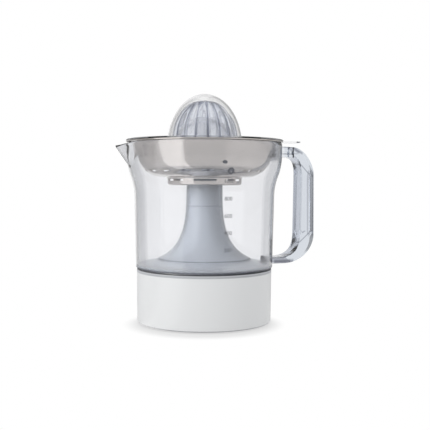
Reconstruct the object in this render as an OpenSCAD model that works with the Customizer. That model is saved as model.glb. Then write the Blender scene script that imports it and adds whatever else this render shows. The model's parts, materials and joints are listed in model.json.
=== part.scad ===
// Electric citrus press: power unit, measuring jug, strainer, cone and dust cover.
// Frame: origin on the drive axis in the plane of the feet, +Z up, +X to the handle, -X to the spout.

/* [Power unit] */
// Outer radius of the housing at its top edge
housing_r = 67.2; // [64:0.2:74]
// Top radius of the housing less its bottom radius
housing_taper = 0.4; // [0:0.1:1]
// Wall of the housing
housing_wall = 2.4; // [2:0.1:3]
// Height of the housing wall
housing_h = 49.5; // [48:0.5:60]
// Gap between the table and the housing's lower edge
foot_gap = 1.5; // [1:0.1:3]
// Height of the trim ring above the housing
trim_h = 3; // [2:0.1:5]
// Shadow gap between the trim ring and the jug
shadow_gap = 1.5; // [1:0.1:2.5]
// Thickness of the bottom cover
plate_t = 2.4; // [2:0.1:3]
// Radius of a rubber foot
foot_r = 6.5; // [5:0.1:8]
// Distance of a foot's centre from the housing's inner face
foot_inset = 12.4; // [11:0.1:16]
// Angle between the handle axis and the bottom cover's screws
post_angle = 65; // [62:1:68]
// Radius of the cord outlet
gland_r = 3.4; // [2.5:0.1:4]

/* [Jug] */
// Overhang of the jug over the housing
jug_overhang = 0.8; // [0:0.1:2]
// Height of the jug
jug_h = 123; // [118:0.5:135]
// Wall of the jug
jug_wall = 2.4; // [2:0.1:3]
// Radius gained between the jug's foot and the start of its flare
jug_draft = 1.5; // [0.5:0.1:3]
// Radius gained in the flare
jug_flare = 7.5; // [5:0.1:10]
// Height of the flare's lower end below the rim
flare_low = 53.5; // [50:0.5:58]
// Height of the flare's upper end below the rim
flare_high = 12.5; // [8:0.5:16]
// Outer radius of the core at its top
core_r = 17.8; // [17:0.1:20]
// Height of the core's top below the rim
core_drop = 28.5; // [28:0.1:30]
// Radius of the step ring at the foot of the core
step_r = 46.5; // [44:0.5:50]
// Reach of the spout's tip from the drive axis
spout_reach = 90.4; // [86:0.2:94]
// Half width of the spout where it leaves the rim
spout_half = 25; // [20:0.5:30]
// Drop of the spout's tip below the rim
spout_drop = 3.8; // [2:0.1:6]
// Depth of the spout's root below the rim
spout_depth = 24; // [20:0.5:30]

/* [Handle] */
// Distance of the handle's outer face from the drive axis
grip_out = 115.8; // [112:0.2:122]
// Depth of the grip from inner to outer face
grip_depth = 16; // [12:0.2:18]
// Width of the handle
handle_w = 22; // [18:0.5:26]
// Thickness of the upper arm
arm_t = 10.8; // [8:0.1:12]
// Thickness of the lower arm
low_arm_t = 6.8; // [5.5:0.1:8]
// Rounding of the handle's long edges
handle_round = 2.4; // [1.5:0.1:2.8]
// Width of the neck that joins the handle to the jug's mouth
neck_w = 14; // [10:0.5:16]
// Tilt of the facet cut across each outer corner of the grip, in degrees
facet_tilt = 14; // [8:1:20]

/* [Strainer] */
// Gap between the jug's mouth and the bowl's wall
bowl_clear = 3.4; // [2.4:0.1:5]
// Sheet thickness of the bowl
sheet_t = 0.8; // [0.6:0.1:1.2]
// Depth of the bowl below the jug's rim
bowl_depth = 33.5; // [30:0.5:35]
// Radius of the curve between wall and floor
bowl_bend = 24; // [18:0.5:26]
// Slope of the bowl's wall from upright, in degrees
bowl_slope = 19.7; // [16:0.1:22]
// Step from the foot of the bowl's curve in to the drum
drum_step = 5.84; // [4:0.02:9]
// Depth of the drum
drum_h = 8; // [7:0.1:9]
// Number of slots round the lower curve
slot_count = 18; // [12:1:20]
// Height of a slot
slot_h = 1.8; // [1.4:0.1:2.4]
// Number of slots round the drum
drum_slots = 7; // [5:1:8]
// Wall of the collar
collar_wall = 1.8; // [1.6:0.1:2.4]

/* [Cone] */
// Radius of the cone at its foot
cone_r = 37; // [34:0.2:39]
// Radius of the cone at half its height
cone_mid_r = 33.5; // [31:0.2:35]
// Height of the cone's tip above the jug's rim
cone_top = 42.3; // [38:0.1:43]
// Wall of the cone
cone_wall = 2.2; // [1.8:0.1:2.6]
// Number of ribs
rib_count = 16; // [12:2:16]
// Height of a rib
rib_h = 2.2; // [1.5:0.1:2.6]
// Radius of the hub's journal
hub_r = 6; // [5.6:0.1:6.6]

/* [Dust cover] */
// Half width of the dome less the radius of the cone at half its height
dome_clear = 3.8; // [3.6:0.1:6]
// Height of the dome's top above the jug's rim
dome_top = 48.8; // [48:0.1:54]
// Depth of the dome's widest level below the jug's rim
dome_sink = 3.5; // [2:0.1:5]
// Wall of the cover
cover_wall = 1.2; // [1:0.1:1.6]
// Reach of the lift tab from the drive axis
tab_reach = 101; // [94:0.5:106]
// Width of the lift tab
tab_w = 22; // [16:0.5:28]

/* [Drive] */
// Radius of the drive shaft
shaft_r = 4; // [3.6:0.1:4.4]
// Gear module
gear_m = 1; // [0.95:0.05:1.05]
// Teeth of the motor pinion
pinion_z = 12; // [12:1:13]
// Teeth of the idler's large gear
idler_z = 44; // [42:1:45]
// Teeth of the idler's small gear
idler_small_z = 12; // [12:1:13]
// Teeth of the output gear
output_z = 44; // [42:1:45]
// Radius of the motor can
motor_r = 23; // [20:0.5:24]
// Gap between the motor can and the drive axis
motor_clear = 10.5; // [10.5:0.5:13]
// Height of the motor can
motor_h = 20; // [16:0.5:21]
// Angle between the handle axis and the pillars of the gear plate
pillar_angle = 48.6; // [47:0.2:51]
// Distance of a pillar's centre from the deck's edge
pillar_inset = 5.1; // [4.9:0.1:6]
// Travel of the shaft when the cone is pressed
press = 2; // [1.5:0.1:2.2]

/* [Fits] */
// Gap between parts that lie one on the other
gap = 0.3; // [0.25:0.05:0.35]
// Gap between the tower and the core of the jug
core_gap = 0.6; // [0.5:0.1:0.8]
// Radial clearance of a running fit
run = 0.05; // [0.03:0.01:0.07]
// Clearance across the flats of the hexagons
hex_gap = 0.2; // [0.15:0.05:0.3]

/* [Hidden] */
$fn = 96;
eps = 0.01;
arc_step = 6;
tower_wall = 2.4;

// Levels of the power unit
z_house = foot_gap;
z_house_top = z_house + housing_h;
z_trim_top = z_house_top + trim_h;
z_jug = z_trim_top + shadow_gap;
z_rim = z_jug + jug_h;
z_ledge = z_house_top - 4;
ledge_t = 2.4;
ledge_in = 9;
z_plate = z_house + gap;
z_floor = z_plate + plate_t;

// Radii of the power unit
housing_in = housing_r - housing_taper - housing_wall;
ring_in = housing_in - 3;
deck_r = ring_in - gap;
screw_ring_r = deck_r - 3.2;
deck_angle = 20;
foot_pitch_r = housing_in - foot_inset;
pillar_x = (deck_r - pillar_inset) * cos(pillar_angle);
pillar_y = (deck_r - pillar_inset) * sin(pillar_angle);

// Drive train, from the gear plate upwards
gear_plate_t = 2;
motor_room = 24.1;
z_gear_plate = z_floor + motor_room;
z_gear_top = z_gear_plate + gear_plate_t;
gear_space = 1.6;
gear_w = 4.5;
z_big = z_gear_top + gear_space;
z_out = z_big + gear_w + press + 1.2;
out_w = 6;
small_top = z_out + out_w + gap;
motor_x = motor_r + motor_clear;
axes_motor = (pinion_z + idler_z) * gear_m / 2;
axes_out = (idler_small_z + output_z) * gear_m / 2;
idler_x = -(motor_x * motor_x + axes_out * axes_out - axes_motor * axes_motor) / (2 * motor_x);
idler_y = sqrt(axes_out * axes_out - idler_x * idler_x);
idler_pin_r = 2.5;
motor_shaft_r = 2;
pillar_r = 4.5;
screw_bore_r = 1.7;
plate_screw_l = 10;
base_screw_l = 12;
motor_ear = 4;
motor_nose_r = 7;
cap_lap = 6;
bush_l = 10;
window_w = 14;
window_l = 40;
bush_wall = 3;
backlash = 0.12;

// Press mechanism
cup_r = shaft_r + 3.1;
guide_r = cup_r + run;
guide_wall = 2.2;
guide_top = z_floor + 10.4;
cup_low = z_floor + 6;
cup_flange_z = guide_top + press + 1.7;
cup_flange_r = cup_r + 3;
cup_flange_t = 2;
shaft_low = cup_low + 4;
lever_t = 0.6;
lever_z = cup_flange_z - gap - lever_t;
switch_x = cup_flange_r + 14;
switch_l = 20;
switch_w = 6.4;
lever_pivot_x = switch_x + 7;

// Jug and core levels
jug_r = housing_r + jug_overhang;
jug_body_r = jug_r + jug_draft;
mouth_r = jug_body_r + jug_flare;
z_core = z_rim - core_drop;
core_wall = 2.3;
z_cap = z_core - core_wall - core_gap;
z_tower_joint = z_core - 33.5;
tower_r = core_r - core_wall - core_gap;

// Strainer levels
z_bowl = z_rim - bowl_depth;
z_drum = z_bowl - drum_h;
bowl_r = mouth_r - jug_wall - bowl_clear;
bend_x = bowl_r - tan(bowl_slope) * (z_rim - 1.5 - z_bowl - bowl_bend * (1 - sin(bowl_slope)))
    - bowl_bend * cos(bowl_slope);
drum_r = bend_x - drum_step;
z_flange = z_rim + gap;
flange_r = mouth_r + 0.6;
bead_h = sheet_t + 0.4;
sleeve_in = core_r + gap;
sleeve_r = sleeve_in + collar_wall;
z_sleeve = z_core + gap;
journal_h = 9;
z_journal = z_sleeve + collar_wall + journal_h;

// Cone levels
z_cone = z_bowl + sheet_t + 3.6;
z_cone_top = z_rim + cone_top;
hub_hex_r = hub_r + 0.9;
shaft_hex_r = shaft_r - 0.05;
z_hub_top = z_cone_top - cone_wall - 17.6;
hub_cap = 2.2;
z_shaft_top = z_hub_top - hub_cap - gap;
z_hex = z_sleeve - gap;

// Dust cover levels
z_brim = z_flange + bead_h + gap;
z_dome_top = z_rim + dome_top;

// Points of an arc about [x, y], both ends included
function arc(x, y, r, a, b) =
    let (n = max(1, ceil(abs(b - a) / arc_step)))
    [for (i = [0 : n]) let (t = a + (b - a) * i / n) [x + r * cos(t), y + r * sin(t)]];

// Points of a cubic curve with ends p, s and handles q, r
function curve(p, q, r, s, n) =
    [for (i = [0 : n]) let (t = i / n, u = 1 - t)
        u * u * u * p + 3 * u * u * t * q + 3 * u * t * t * r + t * t * t * s];

function unit(v) = v / norm(v);
function left_of(v) = [-v[1], v[0]];
function side_at(path, i) =
    let (a = i > 0 ? left_of(unit(path[i] - path[i - 1])) : left_of(unit(path[1] - path[0])),
        b = i < len(path) - 1 ? left_of(unit(path[i + 1] - path[i])) : a,
        m = unit(a + b))
    m / max(0.5, m * a);
// The path shifted to its left by d
function shifted(path, d) = [for (i = [0 : len(path) - 1]) path[i] + d * side_at(path, i)];
function reversed(path) = [for (i = [len(path) - 1 : -1 : 0]) path[i]];

// Upper surface of the jug's floor and core, from the wall inwards and up
floor_lift = 2.4;
skirt = concat(
    [[jug_r - jug_wall, z_jug + floor_lift], [step_r + 6, z_jug + floor_lift + 2.8],
        [step_r + 0.5, z_jug + floor_lift + 4.7], [step_r, z_jug + floor_lift + 5.8]],
    curve([step_r - 6.5, z_jug + 11.8], [core_r + 8, z_jug + 20.5], [core_r + 0.6, z_jug + 37],
        [core_r + 0.4, z_jug + 66], 14),
    [[core_r, z_core]]);

module screw(r, length, head_r, head_h) {
    translate([0, 0, -length]) cylinder(h = length, r = r);
    difference() {
        cylinder(h = head_h, r = head_r);
        translate([0, 0, head_h - 1]) linear_extrude(2) for (a = [0, 90])
            rotate(a) square([head_r * 1.2, 0.8], center = true);
    }
}

module at_pillars() {
    for (x = [-1, 1], y = [-1, 1]) translate([x * pillar_x, y * pillar_y, 0]) children();
}

module at_posts() {
    for (a = [post_angle, 180 - post_angle, 180 + post_angle, -post_angle])
        rotate(a) translate([housing_in - 4.6, 0, 0]) children();
}

module at_deck_screws() {
    for (a = [deck_angle, 180 - deck_angle, 180 + deck_angle, -deck_angle])
        rotate(a) translate([screw_ring_r, 0, 0]) children();
}

module at_feet() {
    for (a = [45 : 90 : 315]) rotate(a) translate([foot_pitch_r, 0, 0]) children();
}

// Power unit -------------------------------------------------------------

post_r = 4;
post_bore = 1.5;
gland_z = z_floor + 11;

module base_housing() {
    color("white") difference() {
        union() {
            rotate_extrude() polygon([[housing_in, z_house], [housing_r - housing_taper - 0.8, z_house],
                [housing_r - housing_taper, z_house + 0.8], [housing_r, z_house_top],
                [housing_in, z_house_top]]);
            translate([0, 0, z_ledge - ledge_t]) difference() {
                cylinder(h = ledge_t, r = housing_in + 1);
                translate([0, 0, -eps]) cylinder(h = ledge_t + 2 * eps, r = housing_in - ledge_in);
            }
            at_posts() translate([0, 0, z_floor]) cylinder(h = z_ledge - ledge_t - z_floor + 1, r = post_r);
        }
        at_posts() translate([0, 0, z_floor - eps]) cylinder(h = 16, r = post_bore, $fn = 32);
        at_deck_screws() translate([0, 0, z_ledge - ledge_t - 1])
            cylinder(h = ledge_t + 2, r = 1.9, $fn = 32);
        at_pillars() translate([0, 0, z_ledge - ledge_t - 1]) cylinder(h = ledge_t + 2, r = pillar_r + gap);
        translate([0, housing_in - 4, gland_z]) rotate([-90, 0, 0]) cylinder(h = 12, r = gland_r + 2.6);
    }
}

module trim_ring() {
    color("gainsboro") rotate_extrude() polygon([[ring_in, z_ledge], [housing_in, z_ledge],
        [housing_in, z_house_top], [housing_r, z_house_top], [housing_r, z_house_top + 0.8],
        [housing_r - 0.4, z_house_top + 1], [housing_r, z_house_top + 1.2], [housing_r, z_trim_top - 0.5],
        [housing_r - 0.5, z_trim_top], [ring_in, z_trim_top]]);
}

// Path of the tower's outer face, under the jug's core
tower_path = shifted(skirt, core_wall + core_gap);

function below(path, z) = [for (p = path) if (p[1] < z) p];
// Height of the deck at radius r, outside the step ring
function deck_at(r) = lookup(r, [tower_path[1], tower_path[0]]);

module tower_cover() {
    outer = [for (p = below(tower_path, z_tower_joint)) if (p[0] < deck_r - 1) p];
    inner = [for (p = below(shifted(tower_path, tower_wall), z_tower_joint))
        if (p[0] < deck_r - 2 * tower_wall) p];
    seat_w = 3;
    seat_h = core_gap - gap;
    z_edge = deck_at(deck_r);
    color("lightslategray") difference() {
        union() {
            rotate_extrude() polygon(concat([[deck_r - tower_wall, z_ledge], [deck_r, z_ledge],
                [deck_r, z_edge + seat_h], [deck_r - seat_w, deck_at(deck_r - seat_w) + seat_h],
                [deck_r - seat_w, deck_at(deck_r - seat_w)]],
                [for (p = outer) if (p[0] < deck_r - seat_w - 1) p],
                [[tower_r, z_tower_joint], [tower_r - tower_wall, z_tower_joint]],
                reversed(inner), [[deck_r - tower_wall, inner[0][1]]]));
            at_pillars() translate([0, 0, z_gear_top])
                cylinder(h = z_edge - z_gear_top - 0.5, r = pillar_r);
            at_deck_screws() translate([0, 0, z_ledge]) cylinder(h = z_edge - z_ledge - 0.5, r = 3.4);
        }
        at_pillars() translate([0, 0, z_gear_top - eps]) cylinder(h = 12, r = 1.5, $fn = 32);
        at_deck_screws() translate([0, 0, z_ledge - eps]) cylinder(h = 5, r = 1.5, $fn = 32);
    }
}

module tower_cap() {
    bush_r = shaft_r + bush_wall;
    color("slategray") rotate_extrude()
        polygon([[tower_r - tower_wall - 1.5 - gap, z_tower_joint - cap_lap],
            [tower_r - tower_wall - gap, z_tower_joint - cap_lap],
            [tower_r - tower_wall - gap, z_tower_joint], [tower_r, z_tower_joint],
            [tower_r, z_cap - 1.5], [tower_r - 1.5, z_cap], [bush_r, z_cap],
            [bush_r, z_cap - bush_l + 1], [bush_r + 2, z_cap - bush_l + 1], [bush_r + 2, z_cap - tower_wall],
            [tower_r - tower_wall, z_cap - tower_wall - 1.5], [tower_r - tower_wall, z_tower_joint + 2],
            [tower_r - tower_wall - 1.5 - gap, z_tower_joint]]);
}

module bush(r, z_low, z_high, flange_r, flange_t) {
    difference() {
        union() {
            translate([0, 0, z_low]) cylinder(h = z_high - z_low, r = r);
            translate([0, 0, z_high - flange_t]) cylinder(h = flange_t, r = flange_r);
        }
        translate([0, 0, z_low - 1]) cylinder(h = z_high - z_low + 2, r = shaft_r + run);
    }
}

module upper_bush() {
    color("peru") bush(shaft_r + bush_wall, z_cap - bush_l, z_cap, shaft_r + bush_wall, 1);
}

module lower_bush() {
    color("peru") bush(shaft_r + bush_wall, z_gear_plate - 2.5, z_gear_top + 1, shaft_r + bush_wall + 2, 1);
}

module gear_plate() {
    lug = 5;
    color("silver") translate([0, 0, z_gear_plate]) difference() {
        linear_extrude(gear_plate_t) {
            square([2 * (pillar_x + lug), 2 * pillar_y], center = true);
            square([2 * pillar_x, 2 * (pillar_y + lug)], center = true);
            at_pillars() circle(lug);
        }
        translate([0, 0, -1]) {
            cylinder(h = 4, r = shaft_r + bush_wall);
            at_pillars() cylinder(h = 4, r = screw_bore_r, $fn = 32);
            translate([idler_x, idler_y, 0]) cylinder(h = 4, r = idler_pin_r, $fn = 48);
            translate([-motor_x, 0, 0]) {
                cylinder(h = 4, r = motor_nose_r + gap);
                for (s = [-1, 1]) translate([0, s * (motor_r + motor_ear), 0])
                    cylinder(h = 4, r = screw_bore_r, $fn = 32);
            }
        }
        translate([pillar_x - window_w - 2, 0, -1]) linear_extrude(4)
            square([window_w, window_l], center = true);
    }
}

module plate_screws() {
    color("gray") at_pillars() translate([0, 0, z_gear_plate]) mirror([0, 0, 1]) screw(1.5, plate_screw_l, 3, 2);
}

module motor_screws() {
    color("gray") for (s = [-1, 1]) translate([-motor_x, s * (motor_r + motor_ear), z_gear_top])
        screw(1.5, gear_plate_t + 2, 2.4, 1.2);
}

module motor_body() {
    z_low = z_gear_plate - motor_h;
    color("dimgray") translate([-motor_x, 0, 0]) difference() {
        union() {
            rotate_extrude() polygon([[0, z_low], [motor_r - 1.5, z_low], [motor_r, z_low + 1.5],
                [motor_r, z_gear_plate], [motor_nose_r, z_gear_plate],
                [motor_nose_r, z_gear_top - 0.4], [0, z_gear_top - 0.4]]);
            translate([0, 0, z_gear_plate - 2]) linear_extrude(2) for (s = [-1, 1]) {
                translate([0, s * (motor_r + motor_ear)]) circle(motor_ear, $fn = 48);
                translate([0, s * (motor_r + 1)]) square([8, 7], center = true);
            }
            for (s = [-1, 1]) translate([-motor_r - 2, s * 5, z_low + 6]) cube([5, 4, 0.8], center = true);
        }
        translate([0, 0, z_low + 4]) cylinder(h = motor_h + 10, r = motor_shaft_r + run, $fn = 48);
        for (s = [-1, 1]) translate([0, s * (motor_r + motor_ear), z_gear_plate - 3])
            cylinder(h = 4, r = 1.5, $fn = 32);
    }
}

// Involute gear outline
function involute(rb, a) = [rb * (cos(a) + a * PI / 180 * sin(a)), rb * (sin(a) - a * PI / 180 * cos(a))];
function turned(p, a) = [p[0] * cos(a) - p[1] * sin(a), p[0] * sin(a) + p[1] * cos(a)];
function roll_angle(rb, r) = r > rb ? sqrt(r * r / (rb * rb) - 1) * 180 / PI : 0;
flank_n = 4;
pressure_angle = 20;
function tooth(z, m) =
    let (rp = z * m / 2, rb = rp * cos(pressure_angle), ra = rp + 0.9 * m, rf = rp - 1.2 * m,
        start = roll_angle(rb, max(rb, rf + 0.25 * m)), stop = roll_angle(rb, ra),
        pitch_pt = involute(rb, roll_angle(rb, rp)),
        half = 90 / z - backlash / rp * 90 / PI, base_turn = -half - atan2(pitch_pt[1], pitch_pt[0]),
        flank = [for (i = [0 : flank_n])
            turned(involute(rb, start + (stop - start) * i / flank_n), base_turn)],
        root = turned([rf, 0], atan2(flank[0][1], flank[0][0])))
    concat([root], flank, [for (p = reversed(flank)) [p[0], -p[1]]], [[root[0], -root[1]]]);

module gear_2d(z, m) {
    t = tooth(z, m);
    polygon([for (i = [0 : z - 1]) for (p = t) turned(p, i * 360 / z)]);
}

// Angle by which a gear of z teeth is turned so that a gap faces direction a
function gap_to(z, a) = a + 180 / z;

idler_dir = atan2(idler_y, idler_x + motor_x);
out_dir = atan2(-idler_y, -idler_x);

module motor_pinion() {
    color("goldenrod") translate([-motor_x, 0, 0]) {
        translate([0, 0, z_gear_plate - motor_h + 5])
            cylinder(h = z_big + gear_w + 1 - z_gear_plate + motor_h - 5,
            r = motor_shaft_r, $fn = 48);
        translate([0, 0, z_big - 0.5]) rotate(idler_dir) linear_extrude(gear_w + 1) gear_2d(pinion_z, gear_m);
    }
}

module idler_pin() {
    color("silver") translate([idler_x, idler_y, 0]) {
        translate([0, 0, z_gear_plate])
            cylinder(h = small_top + gap - z_gear_plate, r = idler_pin_r, $fn = 48);
        translate([0, 0, small_top + gap]) cylinder(h = 1, r = idler_pin_r + 1.2, $fn = 48);
    }
}

module idler_gear() {
    color("ivory") translate([idler_x, idler_y, 0]) difference() {
        union() {
            translate([0, 0, z_big]) rotate(gap_to(idler_z, idler_dir + 180)) linear_extrude(gear_w)
                gear_2d(idler_z, gear_m);
            translate([0, 0, z_big]) rotate(out_dir) linear_extrude(small_top - z_big)
                gear_2d(idler_small_z, gear_m);
            translate([0, 0, z_gear_top + gap]) cylinder(h = z_big - z_gear_top, r = 5, $fn = 48);
        }
        translate([0, 0, z_gear_top])
            cylinder(h = small_top - z_gear_top + 1, r = idler_pin_r + run, $fn = 48);
        rim_r = (idler_z / 2 - 4.5) * gear_m;
        web_r = idler_small_z * gear_m / 2 + 3;
        translate([0, 0, z_big + gear_w - 1.4]) linear_extrude(2) difference() {
            circle(rim_r);
            circle(web_r);
        }
    }
}

module output_gear() {
    color("ivory") difference() {
        union() {
            translate([0, 0, z_out]) rotate(gap_to(output_z, out_dir + 180)) linear_extrude(out_w)
                gear_2d(output_z, gear_m);
            translate([0, 0, z_out - 1]) cylinder(h = out_w + 3, r = shaft_r + 4);
        }
        translate([0, 0, z_out - 2]) cylinder(h = out_w + 5, r = shaft_r);
        translate([0, 0, z_out + out_w - 1.8]) linear_extrude(2) difference() {
            circle((output_z / 2 - 4.5) * gear_m);
            circle(shaft_r + 5.5);
        }
    }
}

module drive_shaft() {
    color("silver") {
        translate([0, 0, shaft_low]) cylinder(h = z_hex - shaft_low, r = shaft_r);
        translate([0, 0, z_hex]) cylinder(h = z_shaft_top - z_hex, r = shaft_hex_r, $fn = 6);
    }
}

module thrust_cup() {
    cup_top = cup_flange_z + cup_flange_t;
    color("whitesmoke") difference() {
        union() {
            translate([0, 0, cup_low]) cylinder(h = cup_top - cup_low, r = cup_r);
            translate([0, 0, cup_flange_z]) cylinder(h = cup_flange_t, r = cup_flange_r);
        }
        translate([0, 0, shaft_low]) cylinder(h = cup_top - shaft_low + 1, r = shaft_r + run);
    }
}

spring_turns = 4;
spring_wire = 0.5;
spring_ring = 12;
spring_side = 8;

module return_spring() {
    spring_r = cup_r - 1.8;
    z_low = z_floor + spring_wire;
    z_high = cup_low - spring_wire;
    rings = spring_turns * spring_ring;
    points = [for (i = [0 : rings]) for (j = [0 : spring_side - 1])
        let (a = 360 * i / spring_ring, b = 360 * j / spring_side, r = spring_r + spring_wire * cos(b))
        [r * cos(a), r * sin(a), z_low + (z_high - z_low) * i / rings + spring_wire * sin(b)]];
    sides = [for (i = [0 : rings - 1]) for (j = [0 : spring_side - 1])
        let (k = (j + 1) % spring_side)
        [i * spring_side + j, i * spring_side + k, (i + 1) * spring_side + k, (i + 1) * spring_side + j]];
    ends = [[for (j = [spring_side - 1 : -1 : 0]) j],
        [for (j = [0 : spring_side - 1]) rings * spring_side + j]];
    color("silver") polyhedron(points, concat(sides, ends));
}

lever_pin_r = 0.8;
switch_top = lever_z - 1.6;

module micro_switch() {
    color("black") {
        translate([switch_x - switch_l / 2 + 3, -switch_w / 2, z_floor])
            cube([switch_l, switch_w, switch_top - z_floor]);
        translate([lever_pivot_x - 4, 0, switch_top - 0.5]) cylinder(h = 0.9, r = 1, $fn = 32);
        for (s = [-1, 1]) translate([lever_pivot_x, s * (switch_w / 2 - 0.5), 0]) {
            translate([0, 0, lever_z + lever_t / 2]) rotate([90, 0, 0])
                cylinder(h = 1, r = 1.6, center = true, $fn = 48);
            translate([-1.6, -0.5, switch_top - 1]) cube([3.2, 1, lever_z + lever_t / 2 - switch_top + 1]);
        }
        translate([lever_pivot_x, 0, lever_z + lever_t / 2]) rotate([90, 0, 0])
            cylinder(h = switch_w, r = lever_pin_r, center = true, $fn = 48);
    }
}

module switch_lever() {
    reach = lever_pivot_x - cup_r - 0.5;
    color("silver") difference() {
        union() {
            translate([lever_pivot_x - reach, -1.8, lever_z]) cube([reach, 3.6, lever_t]);
            translate([lever_pivot_x, 0, lever_z + lever_t / 2]) rotate([90, 0, 0])
                cylinder(h = 3.6, r = 1.4, center = true, $fn = 48);
        }
        translate([lever_pivot_x, 0, lever_z + lever_t / 2]) rotate([90, 0, 0])
            cylinder(h = 6, r = lever_pin_r + run, center = true, $fn = 48);
    }
}

vent_count = 9;
vent_pitch = 4.5;
vent_w = 2;
vent_l = 26;
gusset_t = 1.6;
gusset_l = 6;
gusset_h = 2.5;

module base_plate() {
    plate_r = housing_in - gap;
    foot_hole_r = foot_r - 2;
    color("gainsboro") difference() {
        union() {
            translate([0, 0, z_plate]) cylinder(h = plate_t, r = plate_r);
            translate([0, 0, z_floor - eps]) cylinder(h = guide_top - z_floor, r = guide_r + guide_wall);
            for (a = [22.5 : 45 : 337.5]) rotate(a)
                translate([guide_r + guide_wall - 0.5, -gusset_t / 2, z_floor - eps])
                    cube([gusset_l, gusset_t, gusset_h]);
        }
        translate([0, 0, z_floor]) cylinder(h = 30, r = guide_r);
        at_posts() translate([0, 0, z_plate - 1]) {
            cylinder(h = plate_t + 2, r = 1.9, $fn = 32);
            cylinder(h = 2.2, r = 3.6, $fn = 48);
        }
        at_feet() translate([0, 0, z_plate - 1]) cylinder(h = plate_t + 2, r = foot_hole_r, $fn = 64);
        translate([-motor_x, 0, z_plate - 1]) linear_extrude(plate_t + 2) for (i = [0 : vent_count - 1])
            translate([(i - (vent_count - 1) / 2) * vent_pitch, 0]) square([vent_w, vent_l], center = true);
    }
}

module base_screws() {
    color("gray") at_posts() translate([0, 0, z_plate + 1.2]) mirror([0, 0, 1]) screw(1.5, base_screw_l, 3.2, 1);
}

module deck_screws() {
    color("gray") at_deck_screws() translate([0, 0, z_ledge - ledge_t]) mirror([0, 0, 1])
        screw(1.5, ledge_t + 4.5, 3.2, 1.8);
}

module feet() {
    foot_plug = foot_r - 2;
    color("dimgray") at_feet() rotate_extrude($fn = 64) polygon([[0, 0], [foot_r - 0.6, 0], [foot_r, 0.6],
        [foot_r, z_plate], [foot_plug, z_plate], [foot_plug, z_floor], [foot_plug + 0.7, z_floor],
        [foot_plug - 0.4, z_floor + 1.6], [0, z_floor + 1.6]]);
}

module cord_gland() {
    color("dimgray") translate([0, 0, gland_z]) rotate([-90, 0, 0]) difference() {
        union() {
            translate([0, 0, housing_in - 3]) cylinder(h = 9.4, r = gland_r + 2.6 - 0.05);
            translate([0, 0, housing_r + 0.2]) cylinder(h = 2, r1 = gland_r + 4.2, r2 = gland_r + 3.4);
            translate([0, 0, housing_in - 3]) cylinder(h = 1.8, r = gland_r + 4);
        }
        translate([0, 0, housing_in - 8]) cylinder(h = 24, r = gland_r);
    }
}

// Jug ---------------------------------------------------------------------

z_flare_low = z_rim - flare_low;
z_flare_high = z_rim - flare_high;
flare_half = (z_flare_high - z_flare_low) / 2;
flare_angle = 2 * atan(jug_flare / 2 / flare_half);
flare_arc = flare_half / sin(flare_angle);

// Outer face of the jug's wall, from its foot up to the rim
wall_path = concat([[jug_r, z_jug]],
    [for (p = arc(jug_body_r + flare_arc, z_flare_low, flare_arc, 180, 180 - flare_angle)) p],
    [for (p = arc(mouth_r - flare_arc, z_flare_high, flare_arc, -flare_angle, 0)) p],
    [[mouth_r, z_rim]]);

shaft_hole_r = shaft_r + 2;

module jug_body_2d() {
    inner_wall = shifted(wall_path, jug_wall);
    inside = [for (p = inner_wall) if (p[1] > z_jug + 6) p];
    core_under = [for (p = shifted(skirt, core_wall))
        if (p[0] < jug_r - jug_wall - 1 && p[1] < z_core - 4) p];
    polygon(concat([[jug_r - jug_wall, z_jug], [jug_r - 0.5, z_jug], [jug_r, z_jug + 0.5]],
        [for (i = [1 : len(wall_path) - 1]) wall_path[i] - [0, i == len(wall_path) - 1 ? 0.8 : 0]],
        [[mouth_r - 0.8, z_rim], [mouth_r - jug_wall + 0.8, z_rim], [mouth_r - jug_wall, z_rim - 0.8]],
        reversed([for (p = inside) if (p[1] < z_rim - 1) p]),
        skirt,
        [[shaft_hole_r, z_core], [shaft_hole_r, z_core - core_wall],
            [core_r - core_wall, z_core - core_wall]],
        reversed(core_under)));
}

// Wedge of the spout, drawn in by the distance inset
module spout_wedge(inset) {
    z_tip = z_rim - spout_drop;
    tip_r = 4.5;
    hull() {
        translate([-(spout_reach - tip_r), 0, z_tip - 0.1 + inset * 0.1])
            cylinder(h = spout_drop + 6 * sign(inset) + 0.1, r = tip_r - inset * 0.9, $fn = 32);
        translate([-(mouth_r - 5), 0, z_rim - spout_depth + inset * 1.4]) sphere(1.2, $fn = 24);
        for (s = [-1, 1]) rotate(s * asin(spout_half / mouth_r) * (1 - inset * 0.05))
            translate([-(mouth_r - jug_wall), 0, z_rim - 0.6])
                cylinder(h = 0.6 + 6 * sign(inset), r = 0.8, $fn = 16);
    }
}

grip_in = grip_out - grip_depth;
z_arm = z_rim - 2;
z_low_arm = z_jug + 1.4;
z_grip_top = z_rim - 30;
z_grip_low = z_jug + 30;
handle_root = jug_r + 2;
top_root = mouth_r - 1.2;

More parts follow.
